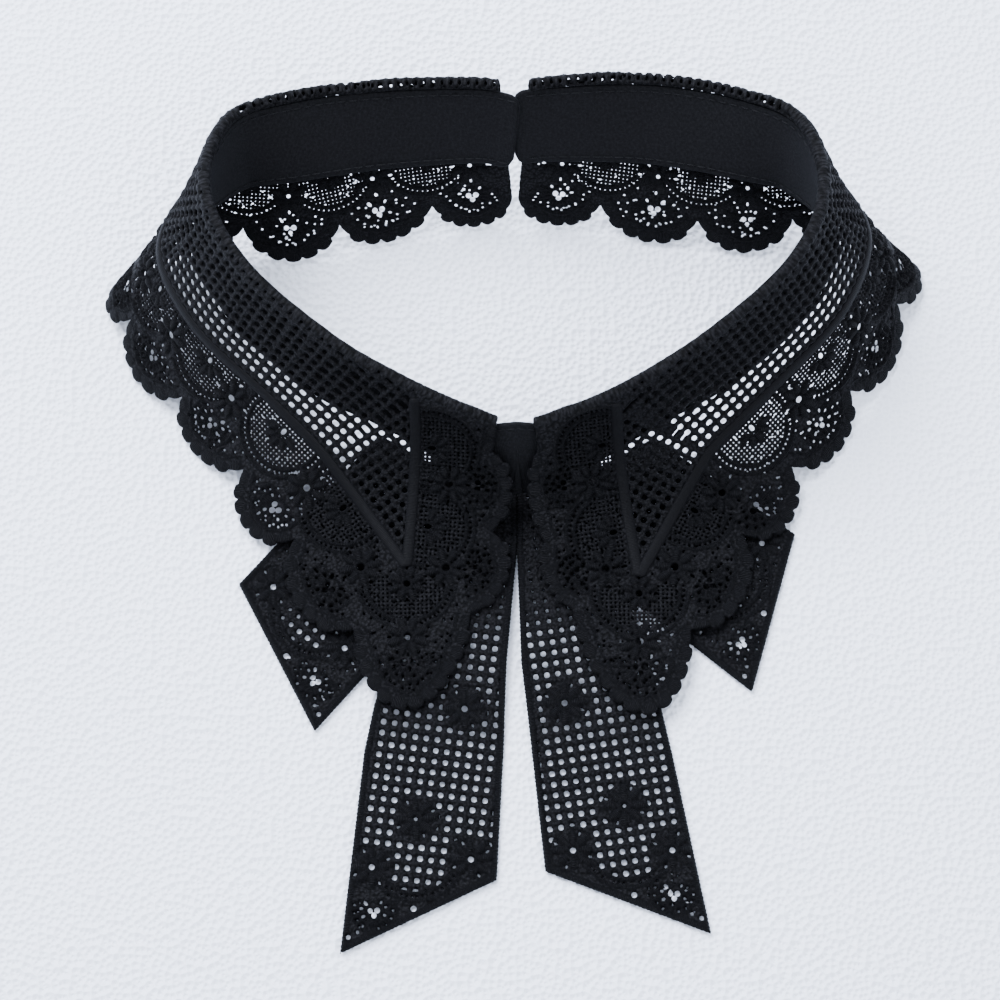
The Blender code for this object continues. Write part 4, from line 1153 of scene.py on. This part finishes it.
def clothMaterial(name, group):
    look = clothLooks[name]
    material = bpy.data.materials.new(name)
    material.use_nodes = True
    tree = material.node_tree
    shader = tree.nodes["Principled BSDF"]
    flat = addNode(tree, "ShaderNodeUVMap", {"uv_map": "Flat"}).outputs[0]
    work = addNode(tree, "ShaderNodeGroup", {"node_tree": group}, {"Flat": flat})
    if "Stitch" in work.inputs:
        stitch = addNode(tree, "ShaderNodeUVMap", {"uv_map": "Stitch"}).outputs[0]
        tree.links.new(stitch, work.inputs["Stitch"])
        work.inputs["Thread Pitch"].default_value = look["pitch"]
    else:
        work.inputs["Yarn Pitch"].default_value = look["pitch"]
    # the colour ramp paints the Shade output: painted shade in the grooves, painted highlight on the crowns
    colour = addNode(tree, "ShaderNodeValToRGB", inputs={"Fac": work.outputs["Shade"]})
    colour.color_ramp.elements[0].color = (*look["dark"], 1)
    colour.color_ramp.elements[0].position = look["stops"][0]
    colour.color_ramp.elements[1].color = (*look["light"], 1)
    colour.color_ramp.elements[1].position = look["stops"][1]
    rough = addNode(tree, "ShaderNodeMapRange",
                    inputs={"Value": work.outputs["Shade"],
                            "To Min": look["rough"][1], "To Max": look["rough"][0]})
    bump = addNode(tree, "ShaderNodeBump", inputs={"Strength": look["bump"], "Distance": look["deep"],
                                                   "Height": work.outputs["Height"]})
    tree.links.new(colour.outputs[0], shader.inputs["Base Color"])
    tree.links.new(rough.outputs[0], shader.inputs["Roughness"])
    tree.links.new(bump.outputs[0], shader.inputs["Normal"])
    shader.inputs["Sheen Weight"].default_value = look["sheen"]
    shader.inputs["Sheen Roughness"].default_value = sheenLook["rough"]
    shader.inputs["Sheen Tint"].default_value = (*sheenLook["tint"], 1)
    shader.inputs["Specular IOR Level"].default_value = look["specular"]
    return material


threadWork, fineWeave = threadGroup(), weaveGroup()
laceBlack, cordBlack = clothMaterial("laceBlack", threadWork), clothMaterial("cordBlack", threadWork)
standBlack, sewingBlack = clothMaterial("standBlack", fineWeave), clothMaterial("sewingBlack", threadWork)


def settle(piece, node, material):
    piece.data.materials.append(material)
    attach(piece, "root")
    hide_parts(node)


def coveredArea(lace, cover):
    return float((cover > 0).sum()) * lace["cell"] ** 2


# make the leaves
borderSplit = {"station": 5.5, "pitch": 24.0, "overlap": 0.2}
cordOverlap = 0.3
for side in ("left", "right"):
    node = f"leaf_{side}"
    leaf = shapeLeaf(leafPlan[side])
    lace, cord, sideLine, frontLine = drawLeaf(leaf, leafShape["cell"])
    edge, panel = lace["edge"], lace["panel"]
    borderCover = np.minimum(lace["cover"], cordOverlap - panel)
    cut = (borderSplit["station"] - lace["station"]) * borderSplit["pitch"]
    overlap = borderSplit["overlap"]
    covers = {
        "net": np.minimum(lace["cover"], panel + cordOverlap),
        "border_back": np.minimum(borderCover, cut + overlap),
        "border_front": np.minimum(borderCover, overlap - cut),
    }
    pieces = {key: laceMesh(f"{node}_{key}", lace, cover, leafShape) for key, cover in covers.items()}
    cordPiece = makeCord(f"{node}_cord", lace, (sideLine[1:], frontLine))
    settle(cordPiece, node, cordBlack)
    for piece in pieces.values():
        settle(piece, node, laceBlack)
    areas = {
        "net": coveredArea(lace, np.minimum(edge, panel)),
        "border_back": coveredArea(lace, np.minimum(np.minimum(edge, -panel), cut)),
        "border_front": coveredArea(lace, np.minimum(np.minimum(edge, -panel), -cut)),
    }
    cuts = {"net": (0.205, 0.060), "border_back": (0.120, 0.034), "border_front": (0.115, 0.068)}
    lies = {"net": ["stand_cloth"], "border_back": [pieces["net"]],
            "border_front": [f"tail_long_{side}_lace"]}
    leafPlan[side]["made"] = {"pieces": pieces, "areas": areas, "cuts": cuts, "lies": lies, "cord": cordPiece}
    counts = [len(piece.data.polygons) for piece in pieces.values()]
    print(node, counts, [round(area) for area in areas.values()])

# make the tails
for node, plan in tailPlan.items():
    lace = drawTail(plan)
    piece = laceMesh(f"{node}_lace", lace, lace["cover"], tailShape)
    settle(piece, node, laceBlack)

# make the stand
stand, stitches, standLong = makeStand()
settle(stand, "neck_stand", standBlack)
settle(stitches, "neck_stand", sewingBlack)
print("stand", len(stand.data.polygons), len(stitches.data.polygons), round(standLong))

# table, light and camera
roomPlan = {
    "tableSize": 3.0, "tableDown": 0.0004, "tableColour": (0.85, 0.90, 0.995), "tableRough": 0.7,
    "pebbles": 60.0, "pebbleSmooth": 0.6, "pebbleDeep": 0.0008,
    "world": 1.97, "worldColour": (0.91, 0.965, 1.10), "distance": 0.9, "elevation": 70.0, "lens": 124.6,
}
# a light's place, size, energy and colour
lightPlan = {
    "windowLight": ((-0.55, 0.75, 1.1), 0.9, 66.0, (0.94, 0.98, 1.10)),
    "fillLight": ((0.7, -0.5, 1.2), 1.2, 5.0, (0.95, 0.97, 1.0)),
}


def makeTable():
    size = roomPlan["tableSize"]
    corners = np.array([(-size, -size, 0), (size, -size, 0), (size, size, 0), (-size, size, 0)])
    corners = corners - (0, 0, roomPlan["tableDown"])
    table = makeMesh("table", corners, np.array([[0, 1, 2, 3]]), {"Flat": corners[:, :2] * 10})
    material = bpy.data.materials.new("paleTable")
    material.use_nodes = True
    tree = material.node_tree
    shader = tree.nodes["Principled BSDF"]
    flat = addNode(tree, "ShaderNodeUVMap", {"uv_map": "Flat"}).outputs[0]
    pebbles = addNode(tree, "ShaderNodeTexVoronoi", {"voronoi_dimensions": "2D", "feature": "SMOOTH_F1"},
                      {"Vector": flat, "Scale": roomPlan["pebbles"],
                       "Smoothness": roomPlan["pebbleSmooth"]})
    bump = addNode(tree, "ShaderNodeBump",
                   inputs={"Strength": 1.0, "Distance": roomPlan["pebbleDeep"], "Height": pebbles.outputs[0]})
    tree.links.new(bump.outputs[0], shader.inputs["Normal"])
    shader.inputs["Base Color"].default_value = (*roomPlan["tableColour"], 1)
    shader.inputs["Roughness"].default_value = roomPlan["tableRough"]
    table.data.materials.append(material)


def makeLight(name, place, size, energy, colour):
    data = bpy.data.lights.new(name, "AREA")
    data.size, data.energy, data.color = size, energy, colour
    light = bpy.data.objects.new(name, data)
    bpy.context.scene.collection.objects.link(light)
    light.location = place
    aim(light, (0, 0, 0))


def aim(thing, target):
    away = Vector(target) - Vector(thing.location)
    thing.rotation_euler = away.to_track_quat("-Z", "Y").to_euler()


makeTable()
for name, light in lightPlan.items():
    makeLight(name, *light)
world = bpy.data.worlds.new("studio")
bpy.context.scene.world = world
world.use_nodes = True
background = world.node_tree.nodes["Background"]
background.inputs[0].default_value = (*roomPlan["worldColour"], 1)
background.inputs[1].default_value = roomPlan["world"]

target = toFrame((0, 0, 0))
elevation = math.radians(roomPlan["elevation"])
cameraData = bpy.data.cameras.new("photoView")
cameraData.lens, cameraData.sensor_width = roomPlan["lens"], 36.0
camera = bpy.data.objects.new("photoView", cameraData)
bpy.context.scene.collection.objects.link(camera)
camera.location = target + roomPlan["distance"] * np.array([0, -math.cos(elevation), math.sin(elevation)])
aim(camera, target)
bpy.context.scene.camera = camera
